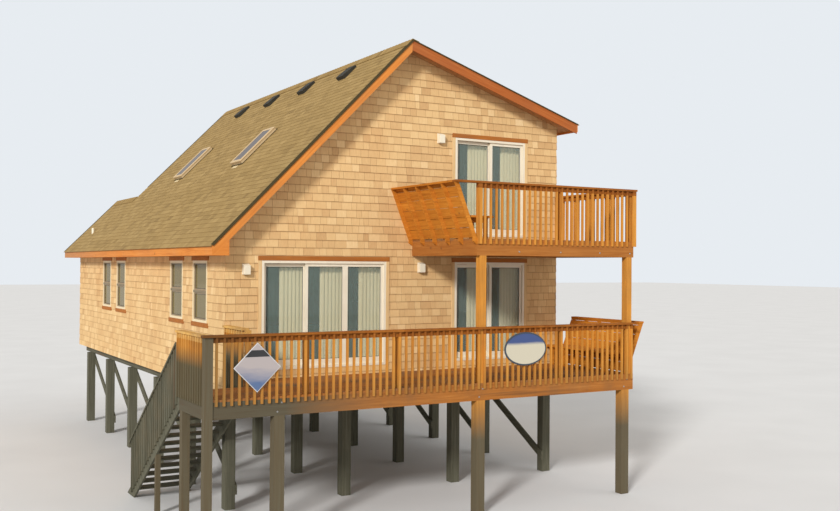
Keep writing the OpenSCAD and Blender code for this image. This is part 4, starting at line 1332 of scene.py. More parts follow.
@dataclass
class RoofCovering:
    """Roof shingles, ridge caps and the drip edges at the rakes."""

    plan: Plan
    exposure: float = 0.135
    widths: tuple[float, float] = (0.12, 0.33)
    overhang: float = 0.03
    past_rake: float = 0.018
    cap_w: float = 0.15
    cap_l: float = 0.18
    cap_t: float = 0.008
    cap_lift: float = 0.012
    cap_tilt: float = 0.010
    caps_start: float = 0.02
    skylight_x: float = 1.455
    skylight_l: float = 1.14
    skylight_w: float = 0.66
    skylight_ys: tuple[float, ...] = (3.12, 7.64)
    drip_t: float = 0.010
    drip_top: float = 0.015
    drip_inset: float = 0.003
    steep_drip: float = 0.048
    shallow_drip: float = 0.024
    flange: float = 0.06
    flange_t: float = 0.005
    flange_lift: float = 0.0125
    flange_past: float = 0.002
    rear_drip_start: float = 0.3

    def build(self) -> None:
        """Cover each slope, cap the ridges and edge the rakes."""
        p = self.plan
        front = p.roof_front - p.trim_t - self.past_rake
        rear = p.roof_rear + p.trim_t + self.past_rake
        end = p.wing_roof_rear + p.trim_t + self.past_rake
        for piece in self._steep(front, rear, end) + self._shallow(front, rear, end):
            Bench.hand_over(piece, ROOF_COVER, Slot.ROOF)
        self._caps("main_ridge_caps", p.ridge_x, p.ridge_z, p.left_pitch, p.right_pitch, front, rear)
        self._caps("wing_ridge_caps", p.wing_ridge_x, p.wing_ridge_z(), p.left_pitch, p.wing_pitch,
                   rear + self.caps_start, end)
        self._drip_edges(front, rear, end)

    def _steep(self, front: float, rear: float, end: float) -> list[bpy.types.Object]:
        """Cover the steep slope of the main part and of the wing.

        Args:
            front: Front end of the main part's shingles.
            rear: Where the wing's shingles take over.
            end: Rear end of the wing's shingles.

        Returns:
            The two fields of shingles.
        """
        p = self.plan
        eave = p.roof_left - p.trim_t - self.overhang
        steep = math.hypot(1.0, p.left_pitch)
        foot = p.at(eave, 0, p.left_top(eave))
        up = Vector((1.0, 0.0, p.left_pitch)) / steep
        start = (self.skylight_x - eave) * steep
        holes = [(y, y + self.skylight_w, start, start + self.skylight_l) for y in self.skylight_ys]
        main_l, wing_l = (p.ridge_x - eave) * steep, (p.wing_ridge_x - eave) * steep
        return [
            self._field("steep_slope_shingles", foot, up, (front, rear), main_l, 21, holes),
            self._field("wing_steep_shingles", foot, up, (rear, end), wing_l, 22, []),
        ]

    def _shallow(self, front: float, rear: float, end: float) -> list[bpy.types.Object]:
        """Cover the shallow slope of the main part and of the wing.

        The wing's courses are sawn off at its ridge, so that none runs in under the steep slope.

        Args:
            front: Front end of the main part's shingles.
            rear: Rear end of the main part's shingles.
            end: Rear end of the wing's shingles.

        Returns:
            The two fields of shingles.
        """
        p = self.plan
        eave = p.roof_right + p.trim_t + self.overhang
        main, wing = math.hypot(1.0, p.right_pitch), math.hypot(1.0, p.wing_pitch)
        right = self._field("shallow_slope_shingles", p.at(eave, 0, p.right_top(eave)),
                            Vector((-1.0, 0.0, p.right_pitch)) / main, (front, rear),
                            (eave - p.ridge_x) * main, 23, [])
        right_wing = self._field("wing_shallow_shingles", p.at(eave, 0, p.wing_top(eave)),
                                 Vector((-1.0, 0.0, p.wing_pitch)) / wing, (p.main_depth, end),
                                 (eave - p.wing_ridge_x) * wing, 24, [])
        Bench.trim(right_wing, p.at(p.wing_ridge_x, 0, p.wing_ridge_z()), Vector((-1.0, 0.0, 0.0)))
        return [right, right_wing]

    def _field(self, name: str, corner: Vector, up: Vector, reach: tuple[float, float], length: float,
               seed: int, holes: list[Rect]) -> bpy.types.Object:
        """Lay one slope's shingles from its eave up.

        Args:
            name: Name of the field.
            corner: Point of the eave where the distances along it start.
            up: Direction up the slope.
            reach: Where the field starts and ends along the eave.
            length: Length of the slope.
            seed: Seed of the shingles' widths and tones.
            holes: Holes for the skylights.

        Returns:
            The field of shingles.
        """
        out = Vector((-up.z, 0.0, up.x)) if up.x > 0 else Vector((up.z, 0.0, -up.x))
        return ShingleField(
            name, corner, Y_AXIS, up, out, reach, (0.0, length), self.exposure, self.widths,
            butt=0.009, gap=0.0025, uneven=0.004, openings=holes, seed=seed).lay()

    def _caps(self, name: str, x: float, z: float, left: float, right: float, y0: float,
              y1: float) -> None:
        """Fold one cap shingle over the ridge and repeat it along the ridge.

        Args:
            name: Name of the row of caps.
            x: Distance of the ridge from the left wall.
            z: Height of the ridge.
            left: Pitch on the left.
            right: Pitch on the right.
            y0: Start of the row.
            y1: End of the row.
        """
        p = self.plan
        Bench.clear()
        bpy.ops.mesh.primitive_grid_add(x_subdivisions=2, y_subdivisions=1, size=1.0,
                                        location=p.at(x, y0 + self.cap_l / 2, z + self.cap_lift))
        bpy.context.object.scale = (2.0 * self.cap_w, self.cap_l, 1.0)
        piece = Bench.settle(name)
        middle = p.origin.x + x
        for vertex in piece.data.vertices:
            offset = vertex.co.x - middle
            vertex.co.z -= abs(offset) * (left if offset < 0 else right)
            vertex.co.z += self.cap_tilt * (1.0 - (vertex.co.y - p.origin.y - y0) / self.cap_l)
        Bench.modify(piece, "SOLIDIFY", thickness=self.cap_t, offset=1.0)
        count = int((y1 - y0 - self.cap_l) / self.exposure) + 1
        step = (y1 - y0 - self.cap_l) / (count - 1)
        Bench.modify(piece, "ARRAY", count=count, use_relative_offset=False,
                     use_constant_offset=True, constant_offset_displace=(0.0, step, 0.0))
        dice = random.Random(len(name))
        faces = len(piece.data.polygons) // count
        tone = piece.data.attributes.new("tone", "FLOAT", "FACE")
        shades = np.repeat([dice.gauss(0.5, 0.1) for _ in range(count)], faces)
        tone.data.foreach_set("value", shades.astype(np.float32))
        Bench.hand_over(piece, ROOF_COVER, Slot.ROOF)

    def _drip_edges(self, front: float, rear: float, end: float) -> None:
        """Fold dark metal strips over the shingles' ends, along each rake.

        Args:
            front: Front end of the shingles.
            rear: Rear end of the main part's shingles.
            end: Rear end of the wing's shingles.
        """
        p = self.plan
        left, right = p.roof_left - p.trim_t, p.roof_right + p.trim_t
        runs = [
            (front, left, p.ridge_x, p.left_top, p.left_pitch),
            (front, p.ridge_x, right, p.right_top, -p.right_pitch),
            (rear, p.wing_ridge_x + self.rear_drip_start, p.ridge_x, p.left_top, p.left_pitch),
            (rear, p.ridge_x, right, p.right_top, -p.right_pitch),
            (end, left, p.wing_ridge_x, p.left_top, p.left_pitch),
            (end, p.wing_ridge_x, right, p.wing_top, -p.wing_pitch),
        ]
        strips = []
        for y, x0, x1, top, pitch in runs:
            middle = (x0 + x1) / 2.0
            inward = 1.0 if y == front else -1.0
            length = (x1 - x0) * math.hypot(1.0, pitch)
            turn = (0.0, -math.atan(pitch), 0.0)
            over = Vector((-pitch, 0.0, 1.0)) / math.hypot(1.0, pitch)
            depth = self.steep_drip if pitch > 0.0 else self.shallow_drip
            face = p.at(middle, y + inward * self.drip_inset, top(middle))
            face += over * (self.drip_top - depth / 2.0)
            strips.append(Bench.board("drip_edge", face, (length, self.drip_t, depth), turn,
                                      round_off=0.002))
            fold = p.at(middle, y + inward * (self.flange / 2.0 - self.flange_past), top(middle))
            fold += over * self.flange_lift
            strips.append(Bench.board("drip_flange", fold, (length, self.flange, self.flange_t), turn,
                                      round_off=0.001))
        Bench.hand_over(Bench.join("drip_edges", strips), DRIP, Slot.VENT)


# Doors, windows and fittings


@dataclass
class Blinds:
    """Vertical blinds behind each glazed door, with each vane's turn in degrees."""

    plan: Plan
    vane: float = 0.089
    pitch: float = 0.078
    y: float = 0.19
    drawn: float = 0.44
    frame: float = 0.05
    past_panel: float = 0.06
    off_floor: float = 0.04
    bow: float = 0.012
    cloth: float = 0.0012
    turn: float = -24.0

    def build(self) -> None:
        """Hang a row of vanes behind each panel, drawn back from its left stile."""
        for door in self.plan.doors():
            panel = (door.width - 2 * self.frame) / door.panels
            for k in range(door.panels):
                left = door.x + self.frame + k * panel + self.drawn
                width = panel - self.drawn + self.past_panel
                self._hang(f"{door.name}_blind_{k + 1}", left, width, door.floor)

    def _hang(self, name: str, x: float, width: float, floor: float) -> None:
        """Curve one vane, turn it and repeat it along its rail.

        Args:
            name: Name of the row of vanes.
            x: Distance of the first vane from the left wall.
            width: Distance from the first vane to the last.
            floor: Height of the door's floor.
        """
        p = self.plan
        top, low = floor + p.door_h, floor + self.off_floor
        Bench.clear()
        bpy.ops.mesh.primitive_grid_add(x_subdivisions=4, y_subdivisions=1, size=1.0,
                                        location=(0, 0, 0), rotation=FACING_FRONT)
        bpy.context.object.scale = (self.vane, top - low, 1.0)
        piece = Bench.settle(name)
        for vertex in piece.data.vertices:
            vertex.co.y = self.bow * (4.0 * (vertex.co.x / self.vane) ** 2 - 1.0)
        Bench.modify(piece, "SOLIDIFY", thickness=self.cloth, offset=0.0)
        piece.data.transform(Matrix.Rotation(math.radians(self.turn), 4, "Z"))
        piece.data.transform(Matrix.Translation(p.at(x, self.y, (top + low) / 2.0)))
        count = int(width / self.pitch) + 1
        Bench.modify(piece, "ARRAY", count=count, use_relative_offset=False, use_constant_offset=True,
                     constant_offset_displace=(width / (count - 1), 0.0, 0.0))
        Bench.hand_over(piece, BLIND, Slot.VINYL)


@dataclass(frozen=True)
class Pane:
    """Glass of one door panel: its middle, plane, width, foot and height, and its body."""

    x: float
    y: float
    width: float
    z: float
    height: float
    body: Body


@dataclass
class DoorFittings:
    """Side casings, gaskets and pulls of the glazed doors."""

    plan: Plan
    frame: float = 0.05
    stile: float = 0.06
    bottom_rail: float = 0.12
    side_play: float = 0.006
    lift: float = 0.012
    height_play: float = 0.018
    fixed_y: float = 0.01
    slide_y: float = 0.06
    casing_y: float = -0.012
    over_deck: float = 0.004
    seal: float = 0.009
    seal_in: float = 0.009
    seal_t: float = 0.002
    pull_z: float = 3.62
    plate_y: float = 0.0585
    grip_y: float = 0.122
    foot_y: float = 0.108
    foot_reach: float = 0.06
    plate: Size = (0.03, 0.003, 0.19)
    grip: Size = (0.016, 0.012, 0.15)
    foot: Size = (0.014, 0.018, 0.02)

    def build(self) -> None:
        """Dress every door."""
        self._casings()
        self._gaskets()
        self._pulls()

    def _casings(self) -> None:
        """Stand a tan board beside each door under its head board."""
        p = self.plan
        reach = p.casing_reach
        boards = []
        for door in p.doors():
            low = door.floor if door.floor > p.floor_z else p.lower_deck_z + self.over_deck
            for side in (door.x - reach / 2, door.x + door.width + reach / 2):
                height = door.floor + p.door_h - low
                centre = p.at(side, self.casing_y, low + height / 2)
                boards.append(Bench.board("side_casing", centre, (reach, p.trim_t, height)))
        Bench.hand_over(Bench.join("door_side_casings", boards), SIDE_CASING, Slot.TRIM)

    def _fixed(self, door: Door, place: int, width: float) -> Pane:
        """Find the glass of a fixed panel.

        Args:
            door: The door.
            place: How many panels stand to its left.
            width: Width of each of the door's panels.

        Returns:
            The glass.
        """
        return Pane(door.x + self.frame + (place + 0.5) * width, self.fixed_y, width,
                    door.floor + self.frame, self.plan.door_h - 2 * self.frame, Body.HOUSE)

    def _sliding(self, door: Door, width: float, body: Body) -> Pane:
        """Find the glass of a door's left panel, which stands behind the fixed ones.

        Args:
            door: The door.
            width: Width of each of the door's panels.
            body: The body that carries it.

        Returns:
            The glass.
        """
        glass = width - self.side_play + 0.5 * self.stile
        height = self.plan.door_h - 2 * self.frame - self.height_play
        return Pane(door.x + self.frame + self.side_play + glass / 2, self.slide_y, glass,
                    door.floor + self.frame + self.lift, height, body)

    def _panes(self) -> list[Pane]:
        """List the glass of every door panel.

        Returns:
            The panes of all three doors.
        """
        wide_door, lower_pair, upper_pair = self.plan.doors()
        wide = (wide_door.width - 2 * self.frame) / wide_door.panels
        pair = (lower_pair.width - 2 * self.frame) / lower_pair.panels
        return [
            self._fixed(wide_door, 1, wide),
            self._fixed(wide_door, 2, wide),
            self._sliding(wide_door, wide, Body.WIDE_SLIDER),
            self._sliding(lower_pair, pair, Body.PAIR_SLIDER),
            self._fixed(lower_pair, 1, pair),
            self._fixed(upper_pair, 1, pair),
            self._sliding(upper_pair, pair, Body.HOUSE),
        ]

    def _gaskets(self) -> None:
        """Run dark seals round each pane's front face."""
        groups: dict[Body, list[bpy.types.Object]] = {}
        for pane in self._panes():
            height = pane.height - self.bottom_rail - self.stile
            centre = self.plan.at(pane.x, pane.y + self.seal_in, pane.z + self.bottom_rail + height / 2)
            ring = Bench.ring("gasket", centre, pane.width - 2 * self.stile, height, self.seal,
                              self.seal_t, FACING_FRONT)
            groups.setdefault(pane.body, []).append(ring)
        for body, rings in groups.items():
            Bench.hand_over(Bench.join(f"{body.value}_gaskets", rings), GASKET, Slot.VENT, body)

    def _pulls(self) -> None:
        """Fix a flush plate outside and a bow handle inside each panel that slides."""
        p = self.plan
        for x, body in ((p.wide_door_x, Body.WIDE_SLIDER), (p.pair_door_x, Body.PAIR_SLIDER)):
            middle = x + self.frame + self.side_play + self.stile / 2
            plate = Bench.board("pull_plate", p.at(middle, self.plate_y, self.pull_z), self.plate,
                                round_off=0.001)
            grip = Bench.board("pull_grip", p.at(middle, self.grip_y, self.pull_z), self.grip,
                               round_off=0.004)
            feet = [Bench.board("pull_foot", p.at(middle, self.foot_y, self.pull_z + reach), self.foot)
                    for reach in (-self.foot_reach, self.foot_reach)]
            Bench.hand_over(Bench.join(f"{body.value}_pull", [plate, grip, *feet]), VINYL,
                            Slot.VINYL, body)


@dataclass(frozen=True)
class WindowRow:
    """Windows of one wall: the middle and sill of each, and how they face."""

    name: str
    spots: list[tuple[float, float, float]]
    turn: Size
    inward: tuple[int, int]


@dataclass
class WindowSashes:
    """Sashes, gaskets and meeting strips in every window frame."""

    plan: Plan
    walls: WallShingles
    frame_w: float = 0.05
    rail: float = 0.05
    sash_bar: float = 0.026
    sash_t: float = 0.024
    sash_back: float = 0.010
    seal_bar: float = 0.033
    seal_t: float = 0.004
    seal_back: float = 0.0205
    strip_t: float = 0.003
    strip_front: float = 0.0215

    def build(self) -> None:
        """Fit a pair of sashes to each window of each wall."""
        for row in self._rows():
            sashes, seals, strips = [], [], []
            for spot in row.spots:
                for upper in (False, True):
                    sashes.append(self._ring(row, spot, upper, self.sash_bar, self.sash_t, self.sash_back))
                    seals.append(self._ring(row, spot, upper, self.seal_bar, self.seal_t, self.seal_back))
                strips.append(self._strip(row, spot))
            Bench.hand_over(Bench.join(f"{row.name}_sashes", sashes), SASH, Slot.VINYL)
            Bench.hand_over(Bench.join(f"{row.name}_meeting_rails", strips), MEETING, Slot.VINYL)
            Bench.hand_over(Bench.join(f"{row.name}_gaskets", seals), GASKET, Slot.VENT)

    def _rows(self) -> list[WindowRow]:
        """List the windows of each wall that has some.

        Returns:
            The rows of the left, right and rear walls.
        """
        p, w = self.plan, self.walls
        quarter = math.pi / 2
        left = [(0.0, y, w.sill) for y in w.side_middles]
        right = [(p.width, y, z) for z in (w.sill, w.upper_sill) for y in w.side_middles]
        rear = [(x, p.wing_end, w.sill) for x in w.rear_middles]
        rear += [(x, p.main_depth, w.gable_sill) for x in w.gable_middles]
        return [
            WindowRow("left_window", left, (quarter, 0.0, -quarter), (1, 0)),
            WindowRow("right_window", right, (quarter, 0.0, quarter), (-1, 0)),
            WindowRow("rear_window", rear, (quarter, 0.0, 0.0), (0, -1)),
        ]

    def _ring(self, row: WindowRow, spot: tuple[float, float, float], upper: bool, bar: float,
              depth: float, back: float) -> bpy.types.Object:
        """Make the ring of one sash or of its seal.

        Args:
            row: The wall's windows.
            spot: Middle and sill of the window.
            upper: Whether it is the upper sash.
            bar: Width of the ring's bars.
            depth: Thickness of the ring.
            back: How far the ring stands in from the wall's face.

        Returns:
            The ring.
        """
        w = self.walls
        light = (w.window_h - self.rail) / 2 - self.frame_w
        low = (w.window_h + self.rail) / 2 if upper else self.frame_w
        x, y, sill = spot
        centre = self.plan.at(x + row.inward[0] * back, y + row.inward[1] * back, sill + low + light / 2)
        return Bench.ring("sash", centre, w.window_w - 2 * self.frame_w, light, bar, depth, row.turn)

    def _strip(self, row: WindowRow, spot: tuple[float, float, float]) -> bpy.types.Object:
        """Cover a window's meeting rail with a strip.

        Args:
            row: The wall's windows.
            spot: Middle and sill of the window.

        Returns:
            The strip.
        """
        width = self.walls.window_w - 2 * self.frame_w
        x, y, sill = spot
        centre = self.plan.at(x - row.inward[0] * self.strip_front, y - row.inward[1] * self.strip_front,
                              sill + self.walls.window_h / 2)
        across = row.inward[0] == 0
        size = (width, self.strip_t, self.rail) if across else (self.strip_t, width, self.rail)
        return Bench.board("meeting_strip", centre, size, round_off=0.001)


@dataclass
class SkylightDressing:
    """Sloped tan frames, a dark ring of painted shadow round each curb's foot, and a pale tile at each
    skylight.
    """

    plan: Plan
    roof: RoofCovering
    curb_h: float = 0.075
    frame_bar: float = 0.075
    frame_t: float = 0.034
    frame_past: float = 0.02
    frame_lift: float = 0.010
    # Ring of painted shadow on the roof round each curb's foot.
    seal_bar: float = 0.035
    seal_t: float = 0.006
    seal_lift: float = 0.014
    tile: Size = (0.08, 0.3, 0.006)
    tile_below: float = 0.085
    tile_lift: float = 0.013

    def build(self) -> None:
        """Frame each skylight."""
        p, r = self.plan, self.roof
        turn = (0.0, -math.atan(p.left_pitch), 0.0)
        steep = math.hypot(1.0, p.left_pitch)
        up, out = Vector((1, 0, p.left_pitch)) / steep, Vector((-p.left_pitch, 0, 1)) / steep
        length, width, seal = r.skylight_l, r.skylight_w, 2 * self.seal_bar
        frames, seals, tiles = [], [], []
        for y in r.skylight_ys:
            foot = p.at(r.skylight_x, y + width / 2, p.left_top(r.skylight_x))
            centre = foot + up * (length / 2)
            frame = Bench.ring(
                "skylight_frame", centre + out * (self.curb_h + self.frame_lift),
                length + self.frame_past, width + self.frame_past, self.frame_bar, self.frame_t, turn)
            Bench.modify(frame, "BEVEL", width=0.010, segments=2, limit_method="ANGLE")
            frames.append(frame)
            # Painted shadow: a dark ring on the roof round the curb's foot.
            seals.append(Bench.ring("skylight_shadow_ring", centre + out * self.seal_lift, length + seal,
                                    width + seal, self.seal_bar, self.seal_t, turn))
            below = centre - up * (length / 2 + self.tile_below) + out * self.tile_lift
            tiles.append(Bench.board("skylight_tile", below, self.tile, turn, round_off=0.002))
        Bench.hand_over(Bench.join("skylight_frames", frames), SKYLIGHT_TAN, Slot.TRIM)
        Bench.hand_over(Bench.join("skylight_tiles", tiles), CREAM, Slot.TRIM)
        Bench.hand_over(Bench.join("skylight_shadow_rings", seals), DRIP, Slot.VENT)


@dataclass
class WallLamps:
    """Square cream wall lamps with a sloped hood and an open foot."""

    plan: Plan
    places: tuple[tuple[float, float], ...] = ((0.39, 4.56), (4.235, 4.61), (4.7, 7.35))
    size: Size = (0.132, 0.112, 0.2)
    plate_t: float = 0.016
    plate_y: float = -0.010
    plate_past: float = 0.010
    off_wall: float = 0.004
    hood_fall: float = 0.03
    hood_slope: Size = (0.0, -0.35, 0.94)
    wall_t: float = 0.010
    step: float = 0.002
    hollow: float = 0.05
    bulb: float = 0.035

    def build(self) -> None:
        """Model one lamp and copy it to each place."""
        lamp = self._lamp()
        lamps = [Bench.copy(lamp, self.plan.at(x, 0.0, z)) for x, z in self.places]
        bpy.data.objects.remove(lamp)
        piece = Bench.join("wall_lamps", lamps)
        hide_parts("wall_lights")
        Bench.hand_over(piece, LAMP_WHITE, Slot.LAMP)

    def _lamp(self) -> bpy.types.Object:
        """Model the plate, the hood with its sloped top and recessed foot, and the bulb in it.

        Returns:
            The lamp, with the middle of its back at the origin.
        """
        width, depth, height = self.size
        back = (width + self.plate_past, self.plate_t, height + self.plate_past)
        plate = Bench.board("lamp_plate", Vector((0, self.plate_y, 0)), back, round_off=0.004)
        box = Bench.board("lamp_box", Vector((0, -depth / 2, 0)), (width, depth - self.off_wall, height),
                          round_off=0.0)
        Bench.trim(box, Vector((0, -depth, height / 2 - self.hood_fall)), Vector(self.hood_slope))
        Bench.pick_faces(box, lambda face: face.normal.z < -0.9)
        bpy.ops.mesh.inset(thickness=self.wall_t, depth=0.0)
        bpy.ops.mesh.inset(thickness=self.step, depth=-self.hollow)
        bpy.ops.object.mode_set(mode="OBJECT")
        Bench.modify(box, "BEVEL", width=0.004, segments=2, limit_method="ANGLE")
        Bench.clear()
        bpy.ops.mesh.primitive_uv_sphere_add(
            segments=24, ring_count=12, radius=self.bulb,
            location=(0.0, -depth / 2, -height / 2 + self.bulb))
        bulb = Bench.settle("lamp_bulb")
        return Bench.join("wall_lamp", [plate, box, bulb])


@dataclass
class RailBoards:
    """Two bare boards that hang on the lower front rail."""

    plan: Plan
    y: float = -2.532
    diamond_x: float = -0.32
    diamond_z: float = 2.96
    diamond_side: float = 0.58
    diamond_t: float = 0.010
    border: float = 0.012
    face_t: float = 0.004
    face_front: float = 0.006
    band_t: float = 0.003
    band_front: float = 0.009
    band_foot: float = 0.175
    band_head: float = 0.285
    diamond_blend: tuple[float, float] = (-0.34, 0.12)
    oval_x: float = 5.11
    oval_z: float = 3.07
    oval_half_w: float = 0.49
    oval_half_h: float = 0.32
    oval_t: float = 0.022
    oval_border: float = 0.03
    oval_face_t: float = 0.006
    oval_face_front: float = 0.013
    oval_blend: tuple[float, float] = (0.06, 0.15)
    oval_corners: int = 64

    def build(self) -> None:
        """Hang the diamond board and the oval board."""
        self._diamond()
        self._oval()

    def _diamond(self) -> None:
        """Hang a square on its corner, with a pale border, a blue-grey face and a dark band."""
        turn = (0.0, math.radians(45.0), 0.0)
        centre = self.plan.at(self.diamond_x, self.y, self.diamond_z)
        side, inner = self.diamond_side, self.diamond_side - 2 * self.border
        back = Bench.board("diamond_board", centre, (side, self.diamond_t, side), turn, round_off=0.002)
        Bench.hand_over(back, BOARD_EDGE, Slot.VINYL)
        face = Bench.board("diamond_face", centre + Vector((0, -self.face_front, 0)),
                           (inner, self.face_t, inner), turn, round_off=0.001)
        paint = BoardFinish("pale_blue_board", upper=(0.40, 0.35, 0.34), lower=(0.09, 0.14, 0.26),
                            z_low=centre.z + self.diamond_blend[0],
                            z_high=centre.z + self.diamond_blend[1])
        Bench.hand_over(face, paint, Slot.VINYL)
        band = Bench.board("diamond_band", centre + Vector((0, -self.band_front, 0)),
                           (inner, self.band_t, inner), turn, round_off=0.0)
        Bench.trim(band, centre + Vector((0, 0, self.band_head)), Vector((0, 0, 1)))
        Bench.trim(band, centre + Vector((0, 0, self.band_foot)), Vector((0, 0, -1)))
        Bench.hand_over(band, BOARD_BAND, Slot.VENT)

    def _oval(self) -> None:
        """Hang an oval with a dark rim and a cream face with a blue head."""
        centre = self.plan.at(self.oval_x, self.y, self.oval_z)
        rim = self._disc("oval_board", centre, self.oval_t, 0.0)
        Bench.modify(rim, "BEVEL", width=0.006, segments=2, limit_method="ANGLE")
        Bench.hand_over(rim, BOARD_RIM, Slot.VENT)
        face = self._disc("oval_face", centre + Vector((0, -self.oval_face_front, 0)),
                          self.oval_face_t, self.oval_border)
        paint = BoardFinish("blue_and_cream_board", upper=(0.045, 0.075, 0.20),
                            lower=(0.55, 0.50, 0.38), z_low=centre.z + self.oval_blend[0],
                            z_high=centre.z + self.oval_blend[1])
        Bench.hand_over(face, paint, Slot.VINYL)

    def _disc(self, name: str, centre: Vector, depth: float, inset: float) -> bpy.types.Object:
        """Cut one oval of the oval board.

        Args:
            name: Name of the oval.
            centre: Middle of it.
            depth: Thickness of it.
            inset: How much smaller it is than the board, all round.

        Returns:
            The oval.
        """
        Bench.clear()
        bpy.ops.mesh.primitive_cylinder_add(vertices=self.oval_corners, radius=1.0, depth=depth,
                                            location=centre, rotation=FACING_FRONT)
        bpy.context.object.scale = (self.oval_half_w - inset, self.oval_half_h - inset, 1.0)
        return Bench.settle(name)


@dataclass
class Bolts:
    """Galvanised bolt heads on the decks' rims and posts."""

    plan: Plan
    radius: float = 0.016
    head_t: float = 0.010
    proud: float = 0.004
    post_xs: tuple[float, ...] = (0.103, 4.135, 7.694)
    post_pair: tuple[tuple[float, float], ...] = ((-0.04, 2.2), (0.04, 2.35))
    rim_xs: tuple[float, ...] = (5.0, 6.0, 7.0, 7.8)
    rim_z: float = 4.93

    def build(self) -> None:
        """Model one head and copy it to every joint."""
        y = -self.plan.deck_reach - self.proud
        spots = [self.plan.at(x + aside, y, z) for x in self.post_xs for aside, z in self.post_pair]
        spots += [self.plan.at(x, y, self.rim_z) for x in self.rim_xs]
        Bench.clear()
        bpy.ops.mesh.primitive_cylinder_add(vertices=12, radius=self.radius, depth=self.head_t,
                                            rotation=FACING_FRONT)
        head = Bench.settle("bolt_head")
        Bench.modify(head, "BEVEL", width=0.003, segments=1, limit_method="ANGLE")
        heads = [Bench.copy(head, spot) for spot in spots]
        bpy.data.objects.remove(head)
        Bench.hand_over(Bench.join("rim_bolts", heads), BOLT, Slot.VENT)


